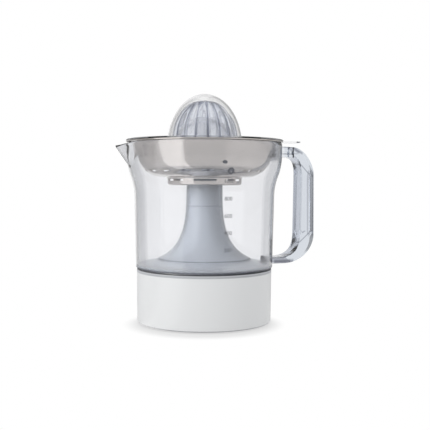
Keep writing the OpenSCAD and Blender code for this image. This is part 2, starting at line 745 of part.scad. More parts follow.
// Outer and inner edge of the handle, seen from the side
handle_outer = concat([[top_root, z_arm], [top_root + 6, z_arm - 0.1]],
    curve([top_root + 16, z_arm - 0.6], [grip_out - 9, z_arm - 1.6], [grip_out - 0.6, z_arm - 18],
        [grip_out - 0.6, z_grip_top], 9),
    curve([grip_out, z_grip_low], [grip_out - 0.2, z_grip_low - 17], [grip_out - 14, z_low_arm],
        [grip_out - 34, z_low_arm], 9),
    [[handle_root + 4, z_low_arm], [handle_root - 3, z_low_arm]]);
handle_inner = concat([[top_root, z_arm - arm_t], [top_root + 6, z_arm - arm_t - 0.1]],
    curve([top_root + 14, z_arm - arm_t - 0.4], [grip_in - 3, z_arm - arm_t - 0.5],
        [grip_in + 0.8, z_arm - arm_t - 4], [grip_in + 0.8, z_grip_top], 9),
    curve([grip_in, z_grip_low], [grip_in - 0.2, z_grip_low - 15], [grip_in - 8, z_low_arm + low_arm_t + 0.8],
        [grip_in - 20, z_low_arm + low_arm_t + 0.2], 9),
    [[handle_root + 4, z_low_arm + low_arm_t], [handle_root - 3, z_low_arm + low_arm_t]]);

section_n = 16;
// Section of the handle, depth d by width w, with rounded corners
function section(d, w) =
    [for (q = [0 : 3]) for (k = [0 : section_n / 4 - 1])
        let (a = 90 * (q + k / (section_n / 4 - 1)), side = 45 + 90 * q)
        [sign(cos(side)) * (d / 2 - handle_round) + handle_round * cos(a),
            sign(sin(side)) * (w / 2 - handle_round) + handle_round * sin(a)]];

module handle_sweep() {
    rings = len(handle_outer);
    points = [for (i = [0 : rings - 1])
        let (span = handle_outer[i] - handle_inner[i], mid = (handle_outer[i] + handle_inner[i]) / 2)
        for (p = section(norm(span), handle_w))
            let (q = mid + unit(span) * p[0]) [q[0], p[1], q[1]]];
    sides = [for (i = [0 : rings - 2]) for (j = [0 : section_n - 1])
        let (k = (j + 1) % section_n)
        [i * section_n + j, i * section_n + k, (i + 1) * section_n + k, (i + 1) * section_n + j]];
    ends = [[for (j = [section_n - 1 : -1 : 0]) j],
        [for (j = [0 : section_n - 1]) (rings - 1) * section_n + j]];
    polyhedron(points, concat(sides, ends));
}

// Block whose near face runs through the crease a to b on the side of the grip and tilts in beyond it
module facet_cut(a, b) {
    l = norm(b - a);
    translate([a[0], -handle_w / 2, a[1]]) rotate([0, -atan2(b[1] - a[1], b[0] - a[0]), 0])
        rotate([-facet_tilt, 0, 0]) translate([-l, -10, 0]) cube([3 * l, 10, 30]);
}

neck_end = top_root + 16.5;
groove_h = 3.4;
groove_depth = 2.5;

module handle() {
    difference() {
        handle_sweep();
        for (s = [0, 1]) mirror([0, s, 0]) {
            facet_cut([grip_out - 16.9, z_grip_top + 10.8], [grip_out - 6.6, z_grip_top - 0.2]);
            facet_cut([grip_out - 4.4, z_grip_low + 3.9], [grip_out - 18.4, z_grip_low - 8.8]);
            translate([top_root - 20, neck_w / 2, z_arm - arm_t - 5])
                cube([neck_end - top_root + 20, handle_w, arm_t + 10]);
            translate([top_root - 20, neck_w / 2 - groove_depth, z_arm - arm_t + 2.4])
                cube([neck_end - top_root + 20, handle_w, groove_h]);
        }
    }
}

module jug() {
    color("lightsteelblue", 0.5) difference() {
        union() {
            rotate_extrude() jug_body_2d();
            difference() {
                union() {
                    spout_wedge(0);
                    handle();
                }
                translate([0, 0, z_jug]) cylinder(h = jug_h + 20, r = jug_r - jug_wall / 2);
                rotate_extrude()
                    polygon(concat([[0, z_jug]], shifted(wall_path, jug_wall / 2), [[0, z_rim]]));
            }
        }
        spout_wedge(jug_wall);
    }
}

// Strainer ------------------------------------------------------------------

bowl_wall_path = concat([[drum_r - 1, z_drum + 1.6], [drum_r, z_drum + 3], [drum_r + 0.4, z_bowl - 0.4],
        [drum_r + 1, z_bowl]],
    arc(bend_x, z_bowl + bowl_bend, bowl_bend, -90, -bowl_slope),
    [[bowl_r, z_rim - 1.5], [bowl_r + 0.9, z_flange]]);

module strainer_bowl() {
    inner = shifted(bowl_wall_path, sheet_t);
    slot_z = z_bowl + 6;
    color("silver") difference() {
        rotate_extrude() polygon(concat([[sleeve_r, z_drum], [drum_r - 2.5, z_drum]], bowl_wall_path,
            [[flange_r, z_flange], [flange_r + 0.4, z_flange + 0.3],
                [flange_r + 0.4, z_flange + bead_h - 0.3], [flange_r, z_flange + bead_h],
                [flange_r - 0.8, z_flange + bead_h], [flange_r - 1.2, z_flange + sheet_t]],
            [[bowl_r + 0.6, z_flange + sheet_t]], reversed(inner),
            [[drum_r - 2.5 - sheet_t * 0.4, z_drum + sheet_t], [sleeve_r, z_drum + sheet_t]]));
        for (i = [0 : slot_count - 1]) rotate(360 * (i + 0.5) / slot_count)
            translate([bend_x, 0, slot_z]) rotate_extrude(angle = 11, $fn = 96)
                translate([0, -slot_h / 2]) square([bowl_bend, slot_h]);
        for (i = [0 : drum_slots - 1]) rotate(360 * i / drum_slots - 90) rotate_extrude(angle = 34, $fn = 96)
            translate([drum_r - 4, z_bowl - 3.6]) square([8, 2]);
    }
}

module strainer_collar() {
    journal_out = hub_r + run + 2.2;
    color("gainsboro") rotate_extrude() polygon([[sleeve_in, z_drum], [sleeve_r, z_drum],
        [sleeve_r, z_sleeve + collar_wall - 1], [sleeve_r - 1, z_sleeve + collar_wall],
        [journal_out, z_sleeve + collar_wall], [journal_out, z_journal], [hub_r + run, z_journal],
        [hub_r + run, z_sleeve], [sleeve_in, z_sleeve]]);
}

// Cone ----------------------------------------------------------------------

module cone_hub() {
    color("lightsteelblue", 0.6) difference() {
        union() {
            translate([0, 0, z_sleeve]) cylinder(h = z_journal + gap - z_sleeve + eps, r = hub_r);
            translate([0, 0, z_journal + gap])
                cylinder(h = z_hub_top - z_journal - gap, r = hub_hex_r, $fn = 6);
        }
        translate([0, 0, z_sleeve - 1]) cylinder(h = z_hub_top - hub_cap - z_sleeve + 1,
            r = shaft_hex_r + hex_gap, $fn = 6);
    }
}

cone_rings = 16;
rib_points = 6;
cone_h = z_cone_top - z_cone;
cone_tip_r = 3;

// Radius of the plain cone at the share t of its height
function cone_at(t) =
    let (low = cone_r + (cone_mid_r - cone_r) * 2 * t,
        dome = cone_tip_r + (cone_mid_r - cone_tip_r) * sqrt(max(0, 1 - pow((t - 0.5) / 0.5, 1.8))))
    t < 0.5 ? low : dome;
// Radius inside the cone's wall at that share
function cone_in(t) = cone_at(t) * 0.94 - rib_h / 2 - cone_wall;
function rib_at(i, t) =
    let (turn = i / rib_points - floor(i / rib_points), crest = pow(abs(cos(180 * turn)), 3),
        long = floor(i / rib_points + 0.5) % 2 == 0,
        fade = long ? min(1, (1 - t) * 9 + 0.5) : min(1, max(0, (0.86 - t) * 9)))
    crest * fade;

module reamer() {
    n = rib_count * rib_points;
    socket_r = hub_hex_r + hex_gap;
    points = concat([for (k = [0 : cone_rings]) for (i = [0 : n - 1])
        let (t = 1 - pow(1 - k / cone_rings, 1.35), a = 360 * i / n,
            r = cone_at(t) * 0.94 - rib_h / 2 + rib_h * rib_at(i, t))
        [r * cos(a), r * sin(a), z_cone + cone_h * t - 0.8 * t]],
        [[0, 0, z_cone], [0, 0, z_cone_top]]);
    base = len(points) - 2;
    sides = [for (k = [0 : cone_rings - 1]) for (i = [0 : n - 1])
        let (j = (i + 1) % n)
        [k * n + i, (k + 1) * n + i, (k + 1) * n + j, k * n + j]];
    caps = [for (i = [0 : n - 1]) each [[base, i, (i + 1) % n],
        [cone_rings * n + i, base + 1, cone_rings * n + (i + 1) % n]]];
    hollow_h = z_hub_top + gap + cone_wall - z_cone;
    hollow = concat([[0, z_cone - 1], [cone_in(0), z_cone - 1]],
        [for (k = [0 : 12]) let (t = sin(90 * k / 12))
            [cone_in(t * hollow_h / cone_h) * sqrt(1 - pow(t, 6)), z_cone + hollow_h * t]]);
    color("lightsteelblue", 0.5) difference() {
        union() {
            difference() {
                union() {
                    polyhedron(points, concat(sides, caps));
                    rotate_extrude()
                        polygon([[0, z_cone - 0.4], [cone_r - 1, z_cone - 0.4], [cone_r, z_cone + 0.4],
                        [cone_r, z_cone + 1.4], [cone_r - 3, z_cone + 2.2], [0, z_cone + 2.2]]);
                }
                rotate_extrude() polygon(hollow);
            }
            translate([0, 0, z_journal + 3])
                cylinder(h = z_hub_top + 2 * cone_wall - z_journal - 3, r = socket_r + 1.6);
        }
        translate([0, 0, z_cone - 2]) cylinder(h = z_hub_top + gap - z_cone + 2, r = socket_r, $fn = 6);
    }
}

// Dust cover ------------------------------------------------------------------

dome_h = dome_top + dome_sink;
dome_centre = z_rim - dome_sink;
dome_a = cone_mid_r + dome_clear;

module dust_cover() {
    z_fillet = z_brim + cover_wall;
    start = asin((z_fillet + 3 - dome_centre) / dome_h);
    dome = [for (i = [0 : 16]) let (a = start + (90 - start) * i / 16)
        [dome_a * cos(a), dome_centre + dome_h * sin(a)]];
    low_r = dome[0][0];
    outer = concat([[flange_r + 0.7, z_brim], [flange_r + 0.7, z_fillet - 0.4], [flange_r, z_fillet]],
        [[low_r + 4, z_fillet], [low_r + 1, z_fillet + 1]], dome);
    inner = concat([for (p = dome) if (p[0] > cover_wall + 1) p - [cover_wall, cover_wall * 0.7]],
        [[0, z_dome_top - cover_wall]]);
    color("white", 0.4) {
        rotate_extrude() polygon(concat(outer, reversed(inner), [[low_r + 1, z_brim]]));
        translate([0, 0, z_brim]) linear_extrude(1.2) difference() {
            union() {
                translate([flange_r - 2, -tab_w / 2]) square([tab_reach - flange_r - 3, tab_w]);
                for (s = [-1, 1]) translate([tab_reach - 5, s * (tab_w / 2 - 5)]) circle(5, $fn = 48);
                translate([tab_reach - 10, -tab_w / 2 + 5]) square([10, tab_w - 10]);
            }
            circle(flange_r);
        }
    }
}

base_housing();
trim_ring();
tower_cover();
tower_cap();
upper_bush();
lower_bush();
gear_plate();
plate_screws();
motor_body();
motor_screws();
motor_pinion();
idler_pin();
idler_gear();
output_gear();
drive_shaft();
thrust_cup();
return_spring();
micro_switch();
switch_lever();
base_plate();
base_screws();
deck_screws();
feet();
cord_gland();
jug();
strainer_bowl();
strainer_collar();
cone_hub();
reamer();
dust_cover();
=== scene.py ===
"""Looks of the citrus press: finishes, clear mouldings, steel strainer, plain studio and camera."""
import json
import math

import bmesh
import bpy
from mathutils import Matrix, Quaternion, Vector


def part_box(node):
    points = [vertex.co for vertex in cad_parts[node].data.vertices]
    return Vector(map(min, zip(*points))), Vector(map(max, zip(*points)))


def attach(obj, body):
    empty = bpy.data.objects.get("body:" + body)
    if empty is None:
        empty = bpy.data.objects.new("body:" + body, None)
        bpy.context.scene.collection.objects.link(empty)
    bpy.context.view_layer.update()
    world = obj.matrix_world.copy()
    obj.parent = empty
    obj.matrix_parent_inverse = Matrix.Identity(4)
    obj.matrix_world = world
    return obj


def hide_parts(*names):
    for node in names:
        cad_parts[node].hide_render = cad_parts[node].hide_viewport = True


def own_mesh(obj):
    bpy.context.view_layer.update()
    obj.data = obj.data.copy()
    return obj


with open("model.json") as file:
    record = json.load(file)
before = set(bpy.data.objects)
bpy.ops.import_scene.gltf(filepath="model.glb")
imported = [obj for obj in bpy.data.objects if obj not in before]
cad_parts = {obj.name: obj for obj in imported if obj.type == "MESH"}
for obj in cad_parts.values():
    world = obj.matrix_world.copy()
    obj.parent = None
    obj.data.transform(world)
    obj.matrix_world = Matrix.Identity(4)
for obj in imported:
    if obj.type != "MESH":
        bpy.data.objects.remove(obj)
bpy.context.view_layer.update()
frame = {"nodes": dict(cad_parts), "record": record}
MM = 0.001

# ---- Sizes shared with the construction, in millimetres ------------------------------------------

Z_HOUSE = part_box("base_housing")[0][2] / MM
Z_RING_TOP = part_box("trim_ring")[1][2] / MM
DECK_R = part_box("tower_cover")[1][0] / MM
Z_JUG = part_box("jug")[0][2] / MM
Z_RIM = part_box("jug")[1][2] / MM
JUG_R = 68.0
JUG_WALL = 2.4
JUG_DRAFT = 1.5
JUG_FLARE = 7.5
FLARE_LOW = 53.5
FLARE_HIGH = 12.5
CORE_R = 17.8
CORE_WALL = 2.3
CORE_DROP = 28.5
STEP_R = 46.5
STEP_LINE_H = 6.2  # painted shade line of the step, over the floor
Z_JOINT = 116.2  # seam between the two parts of the tower
FLOOR_LIFT = 2.4
SPOUT_REACH = 90.4
SPOUT_HALF = 25.0
SPOUT_DROP = 3.8
SPOUT_DEPTH = 24.0
SHAFT_HOLE_R = 6.0
GRIP_OUT = 115.8
GRIP_DEPTH = 16.0
HANDLE_W = 22.0
HANDLE_ROUND = 2.4
NECK_W = 14.0
GROOVE_H = 3.4
GROOVE_DEPTH = 2.5
FACET_TILT = 14.0
ARM_T = 10.8
LOW_ARM_T = 6.8
BEND_H = 30.0  # height of the grip's bends, below the rim and above the foot
BOWL_R = 71.2
SHEET_T = 0.8
BOWL_DEPTH = 33.5
BOWL_BEND = 24.0
BOWL_SLOPE = 19.7
DRUM_STEP = 5.84
DRUM_H = 8.0
DRUM_ROUND = 2.5
SLEEVE_T = 1.8
SLOT_COUNT = 18
SLOT_H = 1.8
SLOT_RISE = 6.0
SLOT_SPAN = 11.0
SLOT_TURN = 5.5
DRUM_SLOTS = 7
DRUM_SLOT_Z = (-3.6, -1.6)  # below the bowl's floor
DRUM_SLOT_SPAN = 34.0
DRUM_SLOT_TURN = -72.0
CONE_R = 37.0
CONE_MID_R = 33.5
CONE_TOP = 42.3
CONE_WALL = 2.2
CONE_TIP_R = 3.0
CONE_SEAT = 3.6  # gap between the strainer's floor and the cone
RIB_COUNT = 16
RIB_H = 2.2
RIB_CENTRE = 0.94  # the ribs swing about this share of the cone's outline
HUB_DROP = 17.6
HUB_HEX_R = 6.9
HEX_GAP = 0.2
JOURNAL_H = 9.0
POST_WALL = 1.6
DOME_CLEAR = 3.8
DOME_TOP = 48.8
DOME_SINK = 3.5
COVER_WALL = 1.2
TAB_REACH = 101.0
TAB_W = 22.0
TAB_CORNER = 5.0
GAP = 0.3
SPRING_WIRE = 0.5  # radius of the wire
SPRING_TURNS = 4
GRADUATION = (200, 400, 600, 800, 1000)
Z_MARK = 77.2
MARK_PITCH = 15.8
MARK_SIZE = 5.2
MARK_T = 0.06
MARK_ACROSS = 1.5
RING_MARK = ((1.5, 3.2), 2.0, 72.9)  # radii, place across, height over the first number
OVAL_MARK = ((0, 2.3, 0.7), -4.3, 80.9)  # radii and height share, place across, height

Z_STEP = Z_JUG + FLOOR_LIFT + STEP_LINE_H
Z_BEND_TOP = Z_RIM - BEND_H
Z_BEND_LOW = Z_JUG + BEND_H
JUG_BODY_R = JUG_R + JUG_DRAFT
MOUTH_R = JUG_BODY_R + JUG_FLARE
FLANGE_R = MOUTH_R + 0.6
BEAD_H = SHEET_T + 0.4
Z_CORE = Z_RIM - CORE_DROP
Z_BOWL = Z_RIM - BOWL_DEPTH
Z_FLANGE = Z_RIM + GAP
Z_BRIM = Z_FLANGE + BEAD_H + GAP

# ---- Camera: image size, scale and place of the object in the picture ----------------------------

FRAME_PX = 430
FOCAL_PX = 750
HORIZON_PX = 181.2
AXIS_PX = 204.4
BASE_ROW_PX = 321.9
YAW = math.radians(-18)
SENSOR = 36.0
MM_PER_PX = 1.0
DISTANCE = FOCAL_PX * MM_PER_PX
ROLL = math.radians(0.25)

# ---- Studio levels -------------------------------------------------------------------------------

WORLD_COLOR = (0.98, 0.985, 1.0, 1)
WORLD_STRENGTH = 0.85
# Glow of the floor at the object's foot, lowered there as a painted soft shadow in which the real shadow also
# shows
FLOOR_GLOW = 0.62
GLOW_START = 0.062  # metres from the object's foot at which the floor starts to brighten out of its painted shadow
GLOW_END = 0.082
# The painted shadow's centre is moved this far towards the camera
PAINTED_SHADOW_SHIFT = 0.012
FLOOR_HALF = 6.0
# Brightness of the room in reflections: degrees round the object from the camera's side, right is positive
ROOM_STOPS = ((-156, 1), (-148, 0.1), (-128, 0.1), (-116, 0.35), (-79, 0.42), (-71, 1.4), (-34, 1.45),
              (-29, 0.6), (30, 0.6), (40, 0.78), (85, 0.78), (110, 0.62), (125, 0.6), (137, 0.2),
              (164, 0.15), (172, 1))
ROOM_PEAK = 1.45
SKY_LOW = 0.45
LAMP_TARGET = (0, 0, 0.11)
BOUNCES = 24

# ---- Colours and finishes ------------------------------------------------------------------------

WHITE = (1, 1, 1, 1)
BUMP_DEPTH = 0.0002
COAT_ROUGH = 0.08
CLEAR_ROUGH = 0.02
HAZE = 0.25
HAZE_ROUGH = 0.22
HAZE_TINT = (0.80, 0.83, 0.87, 1)
FACE_TINT = (0.925, 0.928, 0.94, 1)
EDGE_TINT = (0.75, 0.755, 0.775, 1)
EDGE_ROUGH = 0.09
EDGE_START, EDGE_END = 0.485, 0.495
EDGE_STOPS = ((EDGE_START, FACE_TINT), (EDGE_END, EDGE_TINT), (0.70, EDGE_TINT), (0.82, WHITE))
JUG_ABSORB = (0.70, 0.74, 0.82, 1)
JUG_DENSITY = 14
CORE_HAZE = (5, 8)  # from this far inside the wall, growing to full at the second
FOOT_HAZE = (4, 2)  # heights over the foot
GRIP_FROM = (14.5, 16.5)  # beyond the wall
GRIP_FACE = (0.74, 0.77, 0.81, 1)
GRIP_EDGE = (0.30, 0.33, 0.42, 1)
GRIP_RANGE = (0.25, 0.8)
# Dark colour of the painted shade lines on the jug, the painted shadow at the housing's foot and the tower's
# joint line
SHADE_AND_JOINT_TINT = (0.16, 0.17, 0.21, 1)
CONE_FACE = (0.90, 0.913, 0.945, 1)
CONE_STOPS = ((0.35, CONE_FACE), (0.6, (0.5, 0.53, 0.6, 1)), (0.82, (0.2, 0.21, 0.24, 1)))
CONE_ABSORB = (0.62, 0.67, 0.78, 1)
CONE_DENSITY = 10
CONE_ROUGH = 0.10
CONE_IOR = 1.15
CONE_CLEAR = 0.75
# Painted shade in the valleys between the cone's ribs
VALLEY_SHADE_TINT = (0.2, 0.22, 0.29, 1)
VALLEY_SHADE_RANGE = (0.42, 0.1)
CROWN_RANGE = (10, 6)  # below the tip; the painted valley shade fades out between
CROWN_FADE = 0.3
COVER_FACE = (0.985, 0.985, 0.985, 1)
COVER_STOPS = ((0.5, COVER_FACE), (0.75, (0.78, 0.78, 0.79, 1)))
COVER_ABSORB = (0.80, 0.80, 0.81, 1)
COVER_DENSITY = 30
GAP_TINT = (0.012, 0.013, 0.016, 1)
HOUSING_WHITE = (228, 229, 229)
RING_GREY = (190, 192, 195)
TOWER_GREY = (186, 192, 202)


# ---- Profile helpers -----------------------------------------------------------------------------

def arc(x, y, r, a, b, step=3.0):
    """Points of a circle from angle a to b, in degrees."""
    n = max(1, math.ceil(abs(b - a) / step))
    angles = [math.radians(a + (b - a) * i / n) for i in range(n + 1)]
    return [(x + r * math.cos(t), y + r * math.sin(t)) for t in angles]


def curve(p, q, r, s, n):
    """Cubic curve from p to s in n steps."""
    pts = []
    for i in range(n + 1):
        t = i / n
        u = 1 - t
        w = (u * u * u, 3 * u * u * t, 3 * u * t * t, t * t * t)
        pts.append(tuple(w[0] * a + w[1] * b + w[2] * c + w[3] * d for a, b, c, d in zip(p, q, r, s)))
    return pts


def shifted(path, d):
    """The path moved to its left by d."""
    out = []
    for i, (x, y) in enumerate(path):
        normals = []
        for a, b in ((i - 1, i), (i, i + 1)):
            if a >= 0 and b < len(path):
                dx, dy = path[b][0] - path[a][0], path[b][1] - path[a][1]
                length = math.hypot(dx, dy)
                normals.append((-dy / length, dx / length))
        nx, ny = sum(n[0] for n in normals), sum(n[1] for n in normals)
        length = math.hypot(nx, ny)
        nx, ny = nx / length, ny / length
        scale = max(0.5, nx * normals[0][0] + ny * normals[0][1])
        out.append((x + d * nx / scale, y + d * ny / scale))
    return out


def smooth(t):
    t = min(1.0, max(0.0, t))
    return t * t * (3 - 2 * t)


def handle_creases():
    """Ends of the upper and lower facet creases on the side of the grip, as (x, z)."""
    return (((GRIP_OUT - 16.9, Z_BEND_TOP + 10.8), (GRIP_OUT - 6.6, Z_BEND_TOP - 0.2)),
            ((GRIP_OUT - 4.4, Z_BEND_LOW + 3.9), (GRIP_OUT - 18.4, Z_BEND_LOW - 8.8)))


# ---- Mesh helpers --------------------------------------------------------------------------------

def make_object(name, verts, faces, sharp_deg=35):
    mesh = bpy.data.meshes.new(name)
    mesh.from_pydata([tuple(c * MM for c in v) for v in verts], [], faces)
    obj = bpy.data.objects.new(name, mesh)
    bpy.context.scene.collection.objects.link(obj)
    tidy_normals(obj, sharp_deg)
    return obj


def tidy_normals(obj, sharp_deg=35):
    bm = bmesh.new()
    bm.from_mesh(obj.data)
    bmesh.ops.remove_doubles(bm, verts=bm.verts, dist=1e-6)
    bmesh.ops.dissolve_degenerate(bm, edges=bm.edges, dist=1e-7)
    bmesh.ops.recalc_face_normals(bm, faces=bm.faces)
    limit = math.radians(sharp_deg)
    for face in bm.faces:
        face.smooth = True
    for edge in bm.edges:
        if len(edge.link_faces) == 2:
            edge.smooth = edge.calc_face_angle(0) < limit
    bm.to_mesh(obj.data)
    bm.free()


def turn(name, loop, steps=192, shape=None, sharp_deg=35):
    """A closed outline of (r, z) points turned about the axis; shape(r, z, angle) may move a point."""
    n = len(loop)
    verts = []
    for i in range(steps):
        a = 2 * math.pi * i / steps
        for r, z in loop:
            if shape:
                r, z = shape(r, z, a)
            verts.append((r * math.cos(a), r * math.sin(a), z))
    faces = []
    for i in range(steps):
        j = (i + 1) % steps
        for k in range(n):
            m = (k + 1) % n
            if loop[k][0] < 1e-6 and loop[m][0] < 1e-6:
                continue
            faces.append((i * n + k, j * n + k, j * n + m, i * n + m))
    return make_object(name, verts, faces, sharp_deg)


def combine(obj, other, operation):
    """Boolean of obj with other, which is used up."""
    mod = obj.modifiers.new(operation, "BOOLEAN")
    mod.operation = operation
    mod.solver = "EXACT"
    mod.object = other
    deps = bpy.context.evaluated_depsgraph_get()
    mesh = bpy.data.meshes.new_from_object(obj.evaluated_get(deps))
    obj.modifiers.clear()
    old = obj.data
    obj.data = mesh
    bpy.data.meshes.remove(old)
    bpy.data.objects.remove(other)


def prism_faces(n):
    """Faces of a prism whose lower n corners come first."""
    faces = [(i, (i + 1) % n, n + (i + 1) % n, n + i) for i in range(n)]
    return faces + [tuple(reversed(range(n))), tuple(range(n, 2 * n))]


def wedge_ring(r0, r1, z0, z1, start, stop, steps=12):
    """Vertices and faces of a ring sector, used to cut slots."""
    verts, faces = [], []
    for i in range(steps + 1):
        a = math.radians(start + (stop - start) * i / steps)
        for r, z in ((r0, z0), (r1, z0), (r1, z1), (r0, z1)):
            verts.append((r * math.cos(a), r * math.sin(a), z))
    for i in range(steps):
        for k in range(4):
            m = (k + 1) % 4
            faces.append((i * 4 + k, (i + 1) * 4 + k, (i + 1) * 4 + m, i * 4 + m))
    faces.append((3, 2, 1, 0))
    faces.append(tuple(steps * 4 + k for k in range(4)))
    return verts, faces


# ---- Materials -----------------------------------------------------------------------------------

def srgb(r, g, b):
    """Linear colour of an 8-bit screen colour."""
    def lin(c):
        c /= 255
        return c / 12.92 if c <= 0.04045 else ((c + 0.055) / 1.055) ** 2.4
    return (lin(r), lin(g), lin(b), 1)


def open_material(mat):
    nodes = mat.node_tree.nodes
    return nodes, mat.node_tree.links, nodes["Principled BSDF"]


def new_material(name):
    mat = bpy.data.materials.new(name)
    mat.use_nodes = True
    return (mat, *open_material(mat))


def add_grain(nodes, links, bsdf, scale, bump, rough_low, rough_high):
    """Fine noise on roughness and bump."""
    coord = nodes.new("ShaderNodeTexCoord")
    noise = nodes.new("ShaderNodeTexNoise")
    noise.inputs["Scale"].default_value = scale
    noise.inputs["Detail"].default_value = 4
    links.new(coord.outputs["Object"], noise.inputs["Vector"])
    rough = new_range(nodes, links, noise.outputs["Fac"], 0, 1, rough_low, rough_high)
    links.new(rough, bsdf.inputs["Roughness"])
    node = nodes.new("ShaderNodeBump")
    node.inputs["Strength"].default_value = bump
    node.inputs["Distance"].default_value = BUMP_DEPTH
    links.new(noise.outputs["Fac"], node.inputs["Height"])
    links.new(node.outputs["Normal"], bsdf.inputs["Normal"])


def plastic(name, color, rough, spread, grain, bump, coat=0.0):
    mat, nodes, links, bsdf = new_material(name)
    bsdf.inputs["Base Color"].default_value = color
    bsdf.inputs["Coat Weight"].default_value = coat
    bsdf.inputs["Coat Roughness"].default_value = COAT_ROUGH
    add_grain(nodes, links, bsdf, grain, bump, rough, rough + spread)
    return mat


def metal(name, color, rough, spread, grain, bump, anisotropic=0.0):
    mat, nodes, links, bsdf = new_material(name)
    bsdf.inputs["Base Color"].default_value = color
    bsdf.inputs["Metallic"].default_value = 1
    bsdf.inputs["Anisotropic"].default_value = anisotropic
    add_grain(nodes, links, bsdf, grain, bump, rough, rough + spread)
    return mat


def new_math(nodes, links, operation, a, b=0.0):
    node = nodes.new("ShaderNodeMath")
    node.operation = operation
    for socket, value in zip(node.inputs, (a, b)):
        if isinstance(value, (int, float)):
            socket.default_value = value
        else:
            links.new(value, socket)
    return node.outputs[0]


def new_range(nodes, links, value, low, high, to_low=0.0, to_high=1.0):
    node = nodes.new("ShaderNodeMapRange")
    for name, number in (("From Min", low), ("From Max", high), ("To Min", to_low), ("To Max", to_high)):
        node.inputs[name].default_value = number
    links.new(value, node.inputs["Value"])
    return node.outputs["Result"]


def new_mix(nodes, links, factor, a, b):
    node = nodes.new("ShaderNodeMix")
    node.data_type = "RGBA"
    sockets = [socket for socket in node.inputs if socket.type == "RGBA"]
    for socket, value in zip(sockets, (a, b)):
        if isinstance(value, tuple):
            socket.default_value = value
        else:
            links.new(value, socket)
    links.new(factor, node.inputs["Factor"])
    return next(socket for socket in node.outputs if socket.type == "RGBA")


def new_ramp(nodes, links, value, stops):
    """Colour ramp with the stops (position, colour)."""
    ramp = nodes.new("ShaderNodeValToRGB")
    while len(ramp.color_ramp.elements) < len(stops):
        ramp.color_ramp.elements.new(0.5)
    for stop, (at, color) in zip(ramp.color_ramp.elements, stops):
        stop.position = at
        stop.color = color
    links.new(value, ramp.inputs["Fac"])
    return ramp.outputs["Color"]


def clear_plastic(name, face, stops, absorb, density, rough=CLEAR_ROUGH, ior=1.5):
    """Clear moulding tinted face; where it is seen at a low angle, the stops (share, colour) tint it more."""
    mat, nodes, links, bsdf = new_material(name)
    bsdf.inputs["Transmission Weight"].default_value = 1
    bsdf.inputs["IOR"].default_value = ior
    add_grain(nodes, links, bsdf, 60, 0.02, rough, rough + 0.02)
    facing = nodes.new("ShaderNodeLayerWeight")
    facing.inputs["Blend"].default_value = 0.5
    tint = new_ramp(nodes, links, facing.outputs["Facing"], [(0, face), *stops])
    links.new(tint, bsdf.inputs["Base Color"])
    volume = nodes.new("ShaderNodeVolumeAbsorption")
    volume.inputs["Color"].default_value = absorb
    volume.inputs["Density"].default_value = density
    links.new(volume.outputs["Volume"], nodes["Material Output"].inputs["Volume"])
    return mat


def object_axes(nodes, links):
    coord = nodes.new("ShaderNodeTexCoord")
    split = nodes.new("ShaderNodeSeparateXYZ")
    links.new(coord.outputs["Object"], split.inputs[0])
    return split.outputs


def axis_distance(nodes, links, x, y):
    square = new_math(nodes, links, "ADD", new_math(nodes, links, "MULTIPLY", x, x),
                      new_math(nodes, links, "MULTIPLY", y, y))
    return new_math(nodes, links, "SQRT", square)


def line_mask(nodes, links, x, z, a, b, half):
    """1 on the straight line a to b in the XZ plane, in millimetres, fading out over its half width."""
    dx, dz = b[0] - a[0], b[1] - a[1]
    length = math.hypot(dx, dz)
    dx, dz = dx / length, dz / length

    def along(ux, uz):
        part = new_math(nodes, links, "ADD", new_math(nodes, links, "MULTIPLY", x, ux),
                        new_math(nodes, links, "MULTIPLY", z, uz))
        return new_math(nodes, links, "SUBTRACT", part, (a[0] * ux + a[1] * uz) * MM)

    off = new_math(nodes, links, "ABSOLUTE", along(-dz, dx))
    from_middle = new_math(nodes, links, "SUBTRACT", along(dx, dz), length / 2 * MM)
    mid = new_math(nodes, links, "ABSOLUTE", from_middle)
    near = new_range(nodes, links, off, half * MM, half * MM / 3)
    inside = new_range(nodes, links, mid, (length / 2 + 1) * MM, (length / 2 - 1) * MM)
    return new_math(nodes, links, "MULTIPLY", near, inside)


def jug_lines():
    """Painted shade lines of the jug (step, foot gap, handle creases, edges, underside) and the tower's joint
    line: whether it runs round the axis, its two ends, half width and strength.
    """
    return [
        (True, (STEP_R - 2, Z_STEP), (STEP_R + 2, Z_STEP), 0.9, 0.8),
        (True, (JUG_R - 3, Z_JUG + 0.2), (JUG_R + 2, Z_JUG + 0.2), 1.6, 1.0),
        (True, (0, Z_JOINT), (CORE_R + 3, Z_JOINT), 0.6, 0.25),
        *((False, a, b, 0.9, 0.85) for a, b in handle_creases()),
        *((False, (JUG_R + 15, Z_RIM - drop), (JUG_R + 29, Z_RIM - drop), 0.9, 0.6) for drop in (2.5, 9.4)),
        (False, (GRIP_OUT - 25, Z_RIM - 2.2), (GRIP_OUT - 13, Z_RIM - 9.2), 1.8, 0.9),
        (False, (GRIP_OUT - 2, Z_RIM - 27), (GRIP_OUT - 2, Z_JUG + 29), 1.1, 0.7),
        (False, (JUG_R + 3, Z_JUG + 3), (GRIP_OUT - 22, Z_JUG + 3), 3.4, 0.95),
        (False, (JUG_R + 7.5, Z_RIM - 3), (JUG_R + 7.5, Z_RIM - 17), 5.0, 0.7),
    ]


